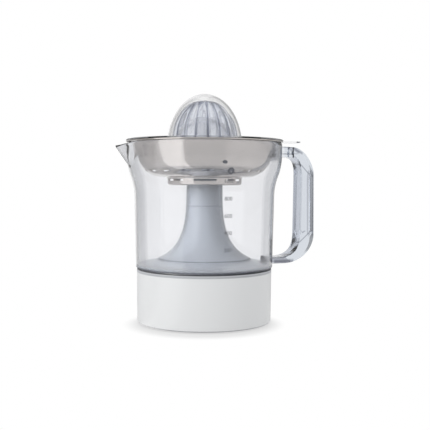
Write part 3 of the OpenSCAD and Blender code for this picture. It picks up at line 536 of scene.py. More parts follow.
def jug_plastic():
    """Clear jug: hazy in the core, on the floor and at the foot, tinted where the wall is seen edge on; with
    painted shade lines and the tower's joint line.
    """
    mat = clear_plastic("jug_clear", FACE_TINT, EDGE_STOPS, JUG_ABSORB, JUG_DENSITY)
    nodes, links, bsdf = open_material(mat)
    x, y, z = object_axes(nodes, links)
    radius = axis_distance(nodes, links, x, y)
    inner = new_range(nodes, links, radius, (JUG_R - CORE_HAZE[0]) * MM, (JUG_R - CORE_HAZE[1]) * MM)
    foot = new_range(nodes, links, z, (Z_JUG + FOOT_HAZE[0]) * MM, (Z_JUG + FOOT_HAZE[1]) * MM)
    hazy = new_math(nodes, links, "MAXIMUM", inner, foot)
    grip = new_range(nodes, links, x, (JUG_R + GRIP_FROM[0]) * MM, (JUG_R + GRIP_FROM[1]) * MM)
    facing = nodes["Layer Weight"].outputs["Facing"]
    edge_on = new_range(nodes, links, facing, EDGE_START, EDGE_END)
    rough = new_math(nodes, links, "MAXIMUM",
                     new_range(nodes, links, hazy, 0, 1, CLEAR_ROUGH, HAZE_ROUGH),
                     new_range(nodes, links, edge_on, 0, 1, CLEAR_ROUGH, EDGE_ROUGH))
    links.new(rough, bsdf.inputs["Roughness"])
    links.new(new_range(nodes, links, hazy, 0, 1, 1, 1 - HAZE), bsdf.inputs["Transmission Weight"])
    tint = bsdf.inputs["Base Color"].links[0].from_socket
    tint = new_mix(nodes, links, hazy, tint, HAZE_TINT)
    grip_tint = new_mix(nodes, links, new_range(nodes, links, facing, *GRIP_RANGE), GRIP_FACE, GRIP_EDGE)
    tint = new_mix(nodes, links, grip, tint, grip_tint)
    # Painted shade lines, and the tower's joint line seen through the jug
    for is_round, a, b, half, share in jug_lines():
        mask = line_mask(nodes, links, radius if is_round else x, z, a, b, half)
        tint = new_mix(nodes, links, new_math(nodes, links, "MULTIPLY", mask, share), tint, SHADE_AND_JOINT_TINT)
    links.new(tint, bsdf.inputs["Base Color"])
    return mat


def cone_plastic():
    """Clear cone with painted shade along the valleys between its ribs."""
    mat = clear_plastic("cone_clear", CONE_FACE, CONE_STOPS, CONE_ABSORB, CONE_DENSITY, CONE_ROUGH, CONE_IOR)
    nodes, links, bsdf = open_material(mat)
    x, y, z = object_axes(nodes, links)
    turns = new_math(nodes, links, "MULTIPLY", new_math(nodes, links, "ARCTAN2", y, x), RIB_COUNT / 2)
    crest = new_math(nodes, links, "ABSOLUTE", new_math(nodes, links, "COSINE", turns))
    tip = Z_RIM + CONE_TOP
    crown = new_range(nodes, links, z, (tip - CROWN_RANGE[0]) * MM, (tip - CROWN_RANGE[1]) * MM,
                      0, CROWN_FADE)
    valley_shade = new_range(nodes, links, new_math(nodes, links, "SUBTRACT", crest, crown), *VALLEY_SHADE_RANGE)
    bsdf.inputs["Transmission Weight"].default_value = CONE_CLEAR
    tint = bsdf.inputs["Base Color"].links[0].from_socket
    links.new(new_mix(nodes, links, valley_shade, tint, VALLEY_SHADE_TINT), bsdf.inputs["Base Color"])
    return mat


def shade_edge(mat, color, r_low, r_high, z_low, share):
    """Darkens what lies in the shadow gap under the jug: beyond the radii and above z_low."""
    nodes, links, bsdf = open_material(mat)
    x, y, z = object_axes(nodes, links)
    band = new_range(nodes, links, axis_distance(nodes, links, x, y), r_low * MM, r_high * MM)
    above = new_range(nodes, links, z, (z_low - 0.2) * MM, z_low * MM)
    mask = new_math(nodes, links, "MULTIPLY", new_math(nodes, links, "MULTIPLY", band, above), share)
    links.new(new_mix(nodes, links, mask, color, GAP_TINT), bsdf.inputs["Base Color"])


def shade_foot(mat, color, z_foot, height, share):
    """Darkens the lowest edge, which stands close over the table."""
    nodes, links, bsdf = open_material(mat)
    z = object_axes(nodes, links)[2]
    low = new_range(nodes, links, z, (z_foot + height) * MM, (z_foot + height / 3) * MM, 0, share)
    links.new(new_mix(nodes, links, low, color, SHADE_AND_JOINT_TINT), bsdf.inputs["Base Color"])


# Name, colour, roughness and its spread, scale of the grain, bump, then the coat or the brushed share
MATERIALS = {
    "housing": plastic("housing_white", srgb(*HOUSING_WHITE), 0.28, 0.08, 900, 0.03, 0.3),
    "ring": plastic("ring_grey", srgb(*RING_GREY), 0.3, 0.08, 700, 0.03),
    "tower": plastic("tower_grey_blue", srgb(*TOWER_GREY), 0.2, 0.06, 600, 0.02, 1.0),
    "clear": jug_plastic(),
    "cone": cone_plastic(),
    "cover": clear_plastic("cover_clear", COVER_FACE, COVER_STOPS, COVER_ABSORB, COVER_DENSITY),
    "strainer": metal("strainer_steel", srgb(208, 203, 199), 0.07, 0.04, 300, 0.02, 0.3),
    "collar": plastic("collar_grey_blue", srgb(170, 176, 186), 0.35, 0.1, 700, 0.03),
    "rubber": plastic("rubber_dark", srgb(70, 70, 72), 0.7, 0.15, 900, 0.1),
    "steel": metal("steel_ground", srgb(190, 190, 192), 0.25, 0.15, 500, 0.05, 0.4),
    "screw": metal("screw_zinc", srgb(170, 172, 176), 0.3, 0.15, 800, 0.05),
    "bronze": metal("bronze_sintered", srgb(176, 134, 92), 0.45, 0.15, 1500, 0.15),
    "brass": metal("brass_cut", srgb(200, 168, 100), 0.25, 0.1, 900, 0.05),
    "gear": plastic("acetal_natural", srgb(226, 222, 210), 0.4, 0.1, 800, 0.03),
    "motor": metal("motor_can", srgb(110, 112, 116), 0.4, 0.15, 700, 0.06),
    "print": plastic("print_grey", srgb(96, 98, 104), 0.5, 0.1, 900, 0.02),
    "black": plastic("switch_black", srgb(38, 38, 40), 0.45, 0.1, 900, 0.05),
    "plate": plastic("plate_grey", srgb(196, 197, 198), 0.5, 0.12, 1200, 0.12),
}
shade_edge(MATERIALS["ring"], srgb(*RING_GREY), DECK_R, DECK_R + 0.1, Z_RING_TOP - 0.25, 0.93)
shade_edge(MATERIALS["tower"], srgb(*TOWER_GREY), DECK_R - 3, DECK_R - 0.8, 0, 0.7)
shade_foot(MATERIALS["housing"], srgb(*HOUSING_WHITE), Z_HOUSE, 1.3, 0.55)


def dress_nodes():
    """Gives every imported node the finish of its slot."""
    slots = {s["node"]: s["material_slot"] for s in frame["record"]["subparts"]}
    for name, obj in frame["nodes"].items():
        obj.data.materials.clear()
        obj.data.materials.append(MATERIALS[slots[name]])


def dress(obj, slot_name, body, *nodes, look=None):
    """Finish of a piece by its slot name or look, its shadow, its body, and the nodes that it hides."""
    obj.data.materials.clear()
    obj.data.materials.append(MATERIALS[look or slot_name])
    obj.visible_shadow = slot_name not in ("clear", "cover")
    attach(obj, body)
    if nodes:
        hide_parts(*nodes)


# ---- Jug -----------------------------------------------------------------------------------------

def wall_outline():
    z_low, z_high = Z_RIM - FLARE_LOW, Z_RIM - FLARE_HIGH
    half = (z_high - z_low) / 2
    angle = 2 * math.degrees(math.atan(JUG_FLARE / 2 / half))
    r = half / math.sin(math.radians(angle))
    path = [(JUG_R, Z_JUG + 0.5), (JUG_R + JUG_DRAFT / 2, (Z_JUG + z_low) / 2)]
    path += arc(JUG_BODY_R + r, z_low, r, 180, 180 - angle, 1.5)
    path += arc(MOUTH_R - r, z_high, r, -angle, 0, 1.5)[1:]
    path += [(MOUTH_R, z_high + (Z_RIM - z_high) * t) for t in (0.33, 0.66, 0.88)]
    return path


def skirt_outline():
    path = [(JUG_R - JUG_WALL, Z_JUG + FLOOR_LIFT), (STEP_R + 6, Z_JUG + FLOOR_LIFT + 2.8),
            (STEP_R + 0.5, Z_JUG + FLOOR_LIFT + 4.7), (STEP_R, Z_JUG + FLOOR_LIFT + 5.8)]
    path += curve((STEP_R - 6.5, Z_JUG + 11.8), (CORE_R + 8, Z_JUG + 20.5), (CORE_R + 0.6, Z_JUG + 37),
                  (CORE_R + 0.4, Z_JUG + 66), 36)
    return path + [(CORE_R, Z_CORE - 0.6), (CORE_R - 0.6, Z_CORE)]


def spout_shape(r, z, a):
    """Moves the upper wall out into the spout at -X and dips the rim there."""
    root = Z_RIM - SPOUT_DEPTH
    u = (z - root) / (SPOUT_DEPTH - SPOUT_DROP)
    phi = math.atan2(math.sin(a), -math.cos(a))
    if u <= 0 or r < 60 or abs(phi) > 0.75:
        return r, z
    u = min(u, 1.15)
    reach = (MOUTH_R + (SPOUT_REACH - MOUTH_R) * u) - (MOUTH_R - r)
    half = max(3.0, SPOUT_HALF * math.sqrt(u))
    px, py = math.sqrt(r * r - half * half), half
    nx, ny = py, reach - px
    length = math.hypot(nx, ny)
    nx, ny = nx / length, ny / length
    soft = min(math.sqrt(phi * phi + 0.05 * 0.05) - 0.012, math.atan2(ny, nx))
    flank = nx * reach / (nx * math.cos(soft) + ny * math.sin(soft))
    k_soft = 1.2
    d = (flank - r) / k_soft
    fade = math.exp(-abs(d))
    grown = r + k_soft * (math.log1p(fade) + max(d, 0)) - k_soft * math.log(2) * fade
    drop = SPOUT_DROP * smooth(1 - abs(phi) / 0.36)
    return grown, root + (z - root) * (1 - drop / SPOUT_DEPTH)


def rounded_section(depth, width, per_corner=8):
    pts = []
    for q in range(4):
        side = math.radians(45 + 90 * q)
        cx = math.copysign(depth / 2 - HANDLE_ROUND, math.cos(side))
        cy = math.copysign(width / 2 - HANDLE_ROUND, math.sin(side))
        for k in range(per_corner + 1):
            a = math.radians(90 * (q + k / per_corner))
            pts.append((cx + HANDLE_ROUND * math.cos(a), cy + HANDLE_ROUND * math.sin(a)))
    return pts


def facet_block(a, b, side):
    """Block whose near face runs through the crease a to b on one side of the grip and tilts in beyond it."""
    along = Vector((b[0] - a[0], 0, b[1] - a[1]))
    reach = along.length
    along.normalize()
    out = Vector((0, side, 0))
    away = Vector((-along.z, 0, along.x))
    tilt = math.radians(FACET_TILT)
    up = away * math.cos(tilt) - out * math.sin(tilt)
    face = out * math.cos(tilt) + away * math.sin(tilt)
    start = Vector((a[0], side * HANDLE_W / 2, a[1])) - along * reach
    verts = [tuple(start + along * x + up * z + face * y)
             for z in (0, 30) for x, y in ((0, 0), (3 * reach, 0), (3 * reach, 10), (0, 10))]
    faces = [(3, 2, 1, 0), (4, 5, 6, 7), (0, 1, 5, 4), (1, 2, 6, 5), (2, 3, 7, 6), (3, 0, 4, 7)]
    return make_object("facet_cutter", verts, faces)


def block(x, y, z):
    verts = [(x[i], y[j], z[k]) for k in (0, 1) for j in (0, 1) for i in (0, 1)]
    faces = [(0, 2, 3, 1), (4, 5, 7, 6), (0, 1, 5, 4), (2, 6, 7, 3), (0, 4, 6, 2), (1, 3, 7, 5)]
    return make_object("block_cutter", verts, faces)


def handle_mesh():
    """Grip and both arms as one swept block, with its facets and the neck with two grooves cut away."""
    grip_in = GRIP_OUT - GRIP_DEPTH
    z_arm, z_low_arm = Z_RIM - 2, Z_JUG + 1.4
    root, top = JUG_R + 2, MOUTH_R - 1.2
    outer = [(top, z_arm), (top + 6, z_arm - 0.1)]
    outer += curve((top + 16, z_arm - 0.6), (GRIP_OUT - 9, z_arm - 1.6), (GRIP_OUT - 0.6, z_arm - 18),
                   (GRIP_OUT - 0.6, Z_BEND_TOP), 26)
    outer += curve((GRIP_OUT, Z_BEND_LOW), (GRIP_OUT - 0.2, Z_BEND_LOW - 17), (GRIP_OUT - 14, z_low_arm),
                   (GRIP_OUT - 34, z_low_arm), 26)
    outer += [(root + 4, z_low_arm), (root - 3, z_low_arm)]
    inner = [(top, z_arm - ARM_T), (top + 6, z_arm - ARM_T - 0.1)]
    inner += curve((top + 14, z_arm - ARM_T - 0.4), (grip_in - 3, z_arm - ARM_T - 0.5),
                   (grip_in + 0.8, z_arm - ARM_T - 4), (grip_in + 0.8, Z_BEND_TOP), 26)
    inner += curve((grip_in, Z_BEND_LOW), (grip_in - 0.2, Z_BEND_LOW - 15),
                   (grip_in - 8, z_low_arm + LOW_ARM_T + 0.8),
                   (grip_in - 20, z_low_arm + LOW_ARM_T + 0.2), 26)
    inner += [(root + 4, z_low_arm + LOW_ARM_T), (root - 3, z_low_arm + LOW_ARM_T)]
    verts, faces = [], []
    for (xo, zo), (xi, zi) in zip(outer, inner):
        depth = math.hypot(xo - xi, zo - zi)
        ux, uz = (xo - xi) / depth, (zo - zi) / depth
        ring = rounded_section(depth, HANDLE_W)
        verts += [((xo + xi) / 2 + ux * d, w, (zo + zi) / 2 + uz * d) for d, w in ring]
    sides, n = len(ring), len(outer)
    for i in range(n - 1):
        for j in range(sides):
            m = (j + 1) % sides
            faces.append((i * sides + j, i * sides + m, (i + 1) * sides + m, (i + 1) * sides + j))
    faces.append(tuple(range(sides)))
    faces.append(tuple((n - 1) * sides + j for j in reversed(range(sides))))
    handle = make_object("jug_handle", verts, faces, 40)
    neck_end = top + 16.5
    for side in (-1, 1):
        for crease in handle_creases():
            combine(handle, facet_block(*crease, side), "DIFFERENCE")
        wide = (NECK_W / 2, HANDLE_W) if side > 0 else (-HANDLE_W, -NECK_W / 2)
        deep = (NECK_W / 2 - GROOVE_DEPTH, HANDLE_W) if side > 0 else (-HANDLE_W, GROOVE_DEPTH - NECK_W / 2)
        z_groove = z_arm - ARM_T + 2.4
        combine(handle, block((top - 20, neck_end), wide, (z_arm - ARM_T - 5, z_arm + 5)), "DIFFERENCE")
        combine(handle, block((top - 20, neck_end), deep, (z_groove, z_groove + GROOVE_H)), "DIFFERENCE")
    return handle


def build_jug():
    outer = wall_outline()
    inner = [p for p in shifted(outer, JUG_WALL) if p[1] > Z_JUG + 6]
    skirt = skirt_outline()
    under = [p for p in shifted(skirt, CORE_WALL) if p[0] < JUG_R - JUG_WALL - 1 and p[1] < Z_CORE - 4]
    loop = [(JUG_R - JUG_WALL, Z_JUG), (JUG_R - 0.5, Z_JUG)] + outer
    loop += [(MOUTH_R - 0.3, Z_RIM - 0.3), (MOUTH_R - 0.9, Z_RIM), (MOUTH_R - JUG_WALL + 0.9, Z_RIM),
             (MOUTH_R - JUG_WALL + 0.3, Z_RIM - 0.3)]
    loop += list(reversed(inner)) + skirt
    loop += [(SHAFT_HOLE_R, Z_CORE), (SHAFT_HOLE_R, Z_CORE - CORE_WALL),
             (CORE_R - CORE_WALL, Z_CORE - CORE_WALL)]
    loop += list(reversed(under))
    jug = turn("jug_moulding", loop, 288, spout_shape, 40)
    combine(jug, handle_mesh(), "UNION")
    tidy_normals(jug, 40)
    dress(jug, "clear", "jug", "jug")


def wall_radius(z):
    """Outer radius of the jug's wall at a height."""
    path = wall_outline()
    for (r0, z0), (r1, z1) in zip(path, path[1:]):
        if z0 <= z <= z1:
            return r0 + (r1 - r0) * (z - z0) / (z1 - z0)
    return path[-1][0]


def number_mesh(value):
    """Vertices and faces of a raised number lying flat."""
    curve_data = bpy.data.curves.new("number", "FONT")
    curve_data.body = str(value)
    curve_data.size = MARK_SIZE
    curve_data.extrude = MARK_T
    curve_data.align_x = "CENTER"
    curve_data.align_y = "CENTER"
    curve_data.resolution_u = 3
    obj = bpy.data.objects.new("number", curve_data)
    bpy.context.scene.collection.objects.link(obj)
    mesh = bpy.data.meshes.new_from_object(obj.evaluated_get(bpy.context.evaluated_depsgraph_get()))
    bpy.data.objects.remove(obj)
    return [tuple(v.co) for v in mesh.vertices], [tuple(f.vertices) for f in mesh.polygons]


def disc_mesh(r_in, r_out, squash=1.0, steps=32):
    """Flat ring, or a disc where r_in is 0."""
    verts, faces = [], []
    for i in range(steps):
        a = 2 * math.pi * i / steps
        verts += [(r * math.cos(a), r * math.sin(a) * squash, t)
                  for r, t in ((r_in, -MARK_T), (r_out, -MARK_T), (r_out, MARK_T), (r_in, MARK_T))]
    for i in range(steps):
        j = (i + 1) % steps
        faces += [(i * 4 + k, j * 4 + k, j * 4 + (k + 1) % 4, i * 4 + (k + 1) % 4) for k in range(4)]
    return verts, faces


def build_marks():
    """The plain graduation and two small marks printed on the jug's wall at -Y."""
    marks = [(number_mesh(value), MARK_ACROSS, Z_MARK + MARK_PITCH * i) for i, value in enumerate(GRADUATION)]
    marks += [(disc_mesh(*shape), across, Z_MARK + rise) for shape, across, rise in (RING_MARK, OVAL_MARK)]
    verts, faces = [], []
    for (points, polygons), across, z0 in marks:
        faces += [tuple(len(verts) + k for k in polygon) for polygon in polygons]
        for u, v, t in points:
            r = wall_radius(z0 + v) + 0.02 + t
            a = (across + u) / r - math.pi / 2
            verts.append((r * math.cos(a), r * math.sin(a), z0 + v))
    jug_marks = make_object("jug_marks", verts, faces)
    jug_marks.visible_transmission = False
    dress(jug_marks, "black", "jug", look="print")


# ---- Strainer ------------------------------------------------------------------------------------

def bowl_bend_x():
    """Radius at which the bowl's flat floor meets its bend."""
    slope = math.radians(BOWL_SLOPE)
    rise = BOWL_DEPTH - 1.5 - BOWL_BEND * (1 - math.sin(slope))
    return BOWL_R - math.tan(slope) * rise - BOWL_BEND * math.cos(slope)


def build_bowl():
    """Pressed sheet with its drum, bead and two rows of slots."""
    x = bowl_bend_x()
    drum_r = x - DRUM_STEP
    z_drum = Z_BOWL - DRUM_H
    sleeve_r = CORE_R + GAP + SLEEVE_T
    outer = [(drum_r - DRUM_ROUND, z_drum)]
    outer += arc(drum_r - DRUM_ROUND, z_drum + DRUM_ROUND, DRUM_ROUND, -80, -5, 15)
    outer += [(drum_r + 0.1, Z_BOWL - 2), (drum_r + 0.4, Z_BOWL - 0.7), (drum_r + 1.2, Z_BOWL)]
    outer += arc(x, Z_BOWL + BOWL_BEND, BOWL_BEND, -90, -BOWL_SLOPE, 2)
    outer += [(BOWL_R, Z_RIM - 1.5), (BOWL_R + 0.4, Z_FLANGE - 0.6), (BOWL_R + 1.2, Z_FLANGE)]
    inner = shifted(outer, SHEET_T)
    z_bead = Z_FLANGE + BEAD_H
    lip = [(FLANGE_R, Z_FLANGE), (FLANGE_R + 0.3, Z_FLANGE + 0.15), (FLANGE_R + 0.4, Z_FLANGE + 0.6),
           (FLANGE_R + 0.3, z_bead - 0.15), (FLANGE_R, z_bead), (FLANGE_R - 0.8, z_bead),
           (FLANGE_R - 1.2, Z_FLANGE + SHEET_T)]
    loop = [(sleeve_r, z_drum)] + outer + lip + list(reversed(inner)) + [(sleeve_r, z_drum + SHEET_T)]
    bowl = turn("strainer_sheet", loop, 240)
    cuts = []
    z_slot = Z_BOWL + SLOT_RISE
    for i in range(SLOT_COUNT):
        start = 360 * (i + 0.5) / SLOT_COUNT + SLOT_TURN - SLOT_SPAN / 2
        cuts.append((x, x + BOWL_BEND, z_slot - SLOT_H / 2, z_slot + SLOT_H / 2, start, start + SLOT_SPAN))
    for i in range(DRUM_SLOTS):
        start = 360 * i / DRUM_SLOTS + DRUM_SLOT_TURN
        low, high = (Z_BOWL + rise for rise in DRUM_SLOT_Z)
        cuts.append((drum_r - 4, drum_r + 4, low, high, start, start + DRUM_SLOT_SPAN))
    verts, faces = [], []
    for cut in cuts:
        v, f = wedge_ring(*cut)
        faces += [tuple(len(verts) + k for k in face) for face in f]
        verts += v
    combine(bowl, make_object("slot_cutter", verts, faces), "DIFFERENCE")
    tidy_normals(bowl, 35)
    dress(bowl, "strainer", "strainer", "strainer_bowl")


# ---- Cone ----------------------------------------------------------------------------------------

def cone_radius(t):
    """Outline of the cone over its height share t."""
    if t < 0.5:
        return CONE_R + (CONE_MID_R - CONE_R) * 2 * t
    return CONE_TIP_R + (CONE_MID_R - CONE_TIP_R) * math.sqrt(max(0, 1 - ((t - 0.5) / 0.5) ** 1.8))


def rib(a, t):
    """Height share of the ribs; every other one ends below the tip."""
    turns = a / (2 * math.pi) * RIB_COUNT
    crest = abs(math.cos(math.pi * turns)) ** 3
    if round(turns) % 2 == 0:
        return crest * min(1, (1 - t) * 9 + 0.5)
    return crest * smooth((0.9 - t) * 6)


def build_cone():
    """Ribbed dome on a foot, hollow under a thin wall, with the hub's socket in its middle."""
    z_cone = Z_BOWL + SHEET_T + CONE_SEAT
    z_top = Z_RIM + CONE_TOP
    h = z_top - z_cone
    z_hub_top = z_top - CONE_WALL - HUB_DROP
    socket_r = HUB_HEX_R + HEX_GAP
    rings, steps = 56, RIB_COUNT * 16
    verts, faces = [], []
    for k in range(rings + 1):
        t = 1 - (1 - k / rings) ** 1.35
        for i in range(steps):
            a = 2 * math.pi * i / steps
            r = cone_radius(t) * RIB_CENTRE - RIB_H / 2 + RIB_H * rib(a, t)
            verts.append((r * math.cos(a), r * math.sin(a), z_cone + h * t - 0.8 * t))
    for k in range(rings):
        for i in range(steps):
            j = (i + 1) % steps
            faces.append((k * steps + i, k * steps + j, (k + 1) * steps + j, (k + 1) * steps + i))
    top = len(verts)
    verts += [(0, 0, z_top), (0, 0, z_cone)]
    for i in range(steps):
        j = (i + 1) % steps
        faces.append((rings * steps + i, rings * steps + j, top))
        faces.append((j, i, top + 1))
    cone = make_object("ribbed_cone", verts, faces, 60)
    foot = turn("cone_foot", [(0, z_cone - 0.4), (CONE_R - 1, z_cone - 0.4), (CONE_R, z_cone + 0.4),
                              (CONE_R, z_cone + 1.4), (CONE_R - 3, z_cone + 2.2), (0, z_cone + 2.2)], 192)
    combine(cone, foot, "UNION")
    hollow_h = z_hub_top + GAP + CONE_WALL - z_cone
    hollow = [(0, z_cone - 1)]
    n = 36
    for k in range(n + 1):
        t = math.sin(math.pi / 2 * k / n)
        r = cone_radius(t * hollow_h / h) * RIB_CENTRE - RIB_H / 2 - CONE_WALL
        z = z_cone - (1 if k == 0 else 0) + hollow_h * t
        hollow.append((max(0, r * math.sqrt(max(0, 1 - t ** 6))), z))
    combine(cone, turn("cone_hollow", hollow, 192), "DIFFERENCE")
    z_post = Z_CORE + GAP + SLEEVE_T + JOURNAL_H + 3
    z_post_top = z_hub_top + 2 * CONE_WALL
    post_r = socket_r + POST_WALL
    post = [(0, z_post), (post_r, z_post), (post_r, z_post_top), (0, z_post_top)]
    combine(cone, turn("cone_post", post, 64), "UNION")
    corners = [math.pi / 3 * i for i in range(6)]
    socket = [(socket_r * math.cos(a), socket_r * math.sin(a), z)
              for z in (z_cone - 2, z_hub_top + GAP) for a in corners]
    combine(cone, make_object("cone_socket", socket, prism_faces(6)), "DIFFERENCE")
    tidy_normals(cone, 50)
    dress(cone, "clear", "cone", "reamer", look="cone")


# ---- Dust cover ----------------------------------------------------------------------------------

def build_cover():
    """Dome on a flat brim with the lift tab at +X."""
    z_top = Z_RIM + DOME_TOP
    height = DOME_TOP + DOME_SINK
    centre = z_top - height
    a = CONE_MID_R + DOME_CLEAR
    z_fillet = Z_BRIM + COVER_WALL
    start = math.degrees(math.asin((z_fillet + 3 - centre) / height))
    n = 40
    dome = []
    for i in range(n + 1):
        t = math.radians(start + (90 - start) * i / n)
        dome.append((a * math.cos(t) if i < n else 0, centre + height * math.sin(t)))
    low = dome[0][0]
    outer = [(FLANGE_R + 0.5, Z_BRIM), (FLANGE_R + 0.65, Z_BRIM + 0.6), (FLANGE_R + 0.4, z_fillet - 0.2),
             (FLANGE_R, z_fillet), (low + 4, z_fillet), (low + 2, z_fillet + 0.4),
             (low + 0.8, z_fillet + 1.4)]
    outer += dome
    inner = [(r - COVER_WALL, z - COVER_WALL * 0.7) for r, z in dome if r > COVER_WALL + 1]
    loop = outer + [(0, z_top - COVER_WALL)] + list(reversed(inner)) + [(low + 1, Z_BRIM)]
    cover = turn("cover_moulding", loop, 240)
    cx, cy = TAB_REACH - TAB_CORNER, TAB_W / 2 - TAB_CORNER
    tab = arc(cx, cy, TAB_CORNER, 0, 90, 10)
    tab += [(FLANGE_R - 3, TAB_W / 2), (FLANGE_R - 3, -TAB_W / 2)]
    tab += arc(cx, -cy, TAB_CORNER, 270, 360, 10)
    verts = [(x, y, z) for z in (Z_BRIM, Z_BRIM + COVER_WALL) for x, y in tab]
    combine(cover, make_object("cover_tab", verts, prism_faces(len(tab))), "UNION")
    tidy_normals(cover, 35)
    dress(cover, "cover", "cover", "dust_cover")


# ---- Return spring -------------------------------------------------------------------------------

def build_spring():
    """Coil under the thrust cup, filling the box of the return spring's node."""
    low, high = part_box("return_spring")
    r = high[0] / MM - SPRING_WIRE
    z_low, z_high = low[2] / MM + SPRING_WIRE, high[2] / MM - SPRING_WIRE
    steps, sides = 36 * SPRING_TURNS, 12
    verts = []
    for i in range(steps + 1):
        a = 2 * math.pi * SPRING_TURNS * i / steps
        z = z_low + (z_high - z_low) * i / steps
        for k in range(sides):
            b = 2 * math.pi * k / sides
            across = r + SPRING_WIRE * math.cos(b)
            verts.append((across * math.cos(a), across * math.sin(a), z + SPRING_WIRE * math.sin(b)))
    faces = []
    for i in range(0, steps * sides, sides):
        for k in range(sides):
            m = (k + 1) % sides
            faces.append((i + k, i + m, i + sides + m, i + sides + k))
    faces += [tuple(reversed(range(sides))), tuple(steps * sides + k for k in range(sides))]
    spring = make_object("coil_spring", verts, faces)
    dress(spring, "steel", "base", "return_spring")
    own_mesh(spring)


# ---- Studio --------------------------------------------------------------------------------------

def ray_kind(nodes, links):
    """1 for what the camera sees, also in gloss and through glass; and 1 for what it sees in gloss."""
    path = nodes.new("ShaderNodeLightPath")
    seen = new_math(nodes, links, "MAXIMUM", path.outputs["Is Camera Ray"], path.outputs["Is Glossy Ray"])
    seen = new_math(nodes, links, "MAXIMUM", seen, path.outputs["Is Transmission Ray"])
    first = new_math(nodes, links, "LESS_THAN", path.outputs["Diffuse Depth"], 0.5)
    gloss = new_math(nodes, links, "GREATER_THAN", path.outputs["Glossy Depth"], 0.5)
    return new_math(nodes, links, "MULTIPLY", seen, first), gloss


def room_level(nodes, links, vector, low=0.0):
    """Brightness of the room in a direction, at least low, as a share of ROOM_PEAK."""
    parts = []
    for axis in (side_point(1, 0, 0), side_point(0, -1, 0)):
        node = nodes.new("ShaderNodeVectorMath")
        node.operation = "DOT_PRODUCT"
        node.inputs[1].default_value = axis
        links.new(vector, node.inputs[0])
        parts.append(node.outputs["Value"])
    angle = new_range(nodes, links, new_math(nodes, links, "ARCTAN2", *parts), -math.pi, math.pi)
    shares = [(at / 360 + 0.5, max(level, low) / ROOM_PEAK) for at, level in ROOM_STOPS]
    return new_ramp(nodes, links, angle, [(at, (share, share, share, 1)) for at, share in shares])


def build_world():
    """Plain light on matt surfaces, white behind the object and the room in gloss."""
    world = bpy.data.worlds.new("studio")
    bpy.context.scene.world = world
    world.use_nodes = True
    nodes, links = world.node_tree.nodes, world.node_tree.links
    lit = nodes["Background"]
    lit.inputs["Color"].default_value = WORLD_COLOR
    lit.inputs["Strength"].default_value = WORLD_STRENGTH
    seen = nodes.new("ShaderNodeBackground")
    seen.inputs["Color"].default_value = WHITE
    room = nodes.new("ShaderNodeBackground")
    coord = nodes.new("ShaderNodeTexCoord")
    links.new(room_level(nodes, links, coord.outputs["Generated"], SKY_LOW), room.inputs["Color"])
    room.inputs["Strength"].default_value = ROOM_PEAK
    switch, in_gloss = ray_kind(nodes, links)
    gloss = nodes.new("ShaderNodeMixShader")
    links.new(in_gloss, gloss.inputs[0])
    links.new(seen.outputs[0], gloss.inputs[1])
    links.new(room.outputs[0], gloss.inputs[2])
    mix = nodes.new("ShaderNodeMixShader")
    links.new(switch, mix.inputs[0])
    links.new(lit.outputs[0], mix.inputs[1])
    links.new(gloss.outputs[0], mix.inputs[2])
    links.new(mix.outputs[0], nodes["World Output"].inputs["Surface"])


def build_floor():
    """White floor, its glow lowered near the object's foot as a painted soft shadow in which the object's
    real shadow also shows; seen in gloss, it glows with the room's brightness, painted light.
    """
    mesh = bpy.data.meshes.new("floor")
    s = FLOOR_HALF
    mesh.from_pydata([(-s, -s, 0), (s, -s, 0), (s, s, 0), (-s, s, 0)], [], [(0, 1, 2, 3)])
    floor = bpy.data.objects.new("floor", mesh)
    bpy.context.scene.collection.objects.link(floor)
    mat, nodes, links, bsdf = new_material("floor_white")
    bsdf.inputs["Roughness"].default_value = 0.9
    bsdf.inputs["Specular IOR Level"].default_value = 0
    switch, in_gloss = ray_kind(nodes, links)
    plain = new_math(nodes, links, "MULTIPLY", switch, new_math(nodes, links, "SUBTRACT", 1.0, in_gloss))
    coord = nodes.new("ShaderNodeTexCoord")
    # Painted soft shadow: the glow rises with the distance from a point moved towards the camera
    nearer = nodes.new("ShaderNodeVectorMath")
    nearer.operation = "ADD"
    nearer.inputs[1].default_value = side_point(0, PAINTED_SHADOW_SHIFT, 0)
    links.new(coord.outputs["Object"], nearer.inputs[0])
    far = nodes.new("ShaderNodeVectorMath")
    far.operation = "LENGTH"
    links.new(nearer.outputs["Vector"], far.inputs[0])
    level = nodes.new("ShaderNodeMapRange")
    level.interpolation_type = "SMOOTHSTEP"
    level.inputs["From Min"].default_value = GLOW_START
    level.inputs["From Max"].default_value = GLOW_END
    level.inputs["To Min"].default_value = FLOOR_GLOW
    level.inputs["To Max"].default_value = 1.0
    links.new(far.outputs["Value"], level.inputs["Value"])
    glow = new_math(nodes, links, "MULTIPLY", level.outputs["Result"], plain)
    # Seen in gloss, the floor glows with the room's brightness: painted light
    room_glow_in_gloss = new_math(nodes, links, "MULTIPLY", switch, in_gloss)
    room_glow_in_gloss = new_math(nodes, links, "MULTIPLY", room_glow_in_gloss, ROOM_PEAK)
    room = new_math(nodes, links, "MULTIPLY", room_level(nodes, links, coord.outputs["Object"]), room_glow_in_gloss)
    glow = new_math(nodes, links, "ADD", glow, room)
    bsdf.inputs["Emission Color"].default_value = WHITE
    links.new(glow, bsdf.inputs["Emission Strength"])
    links.new(new_mix(nodes, links, glow, (0.5, 0.5, 0.5, 1), (0, 0, 0, 1)), bsdf.inputs["Base Color"])
    mesh.materials.append(mat)


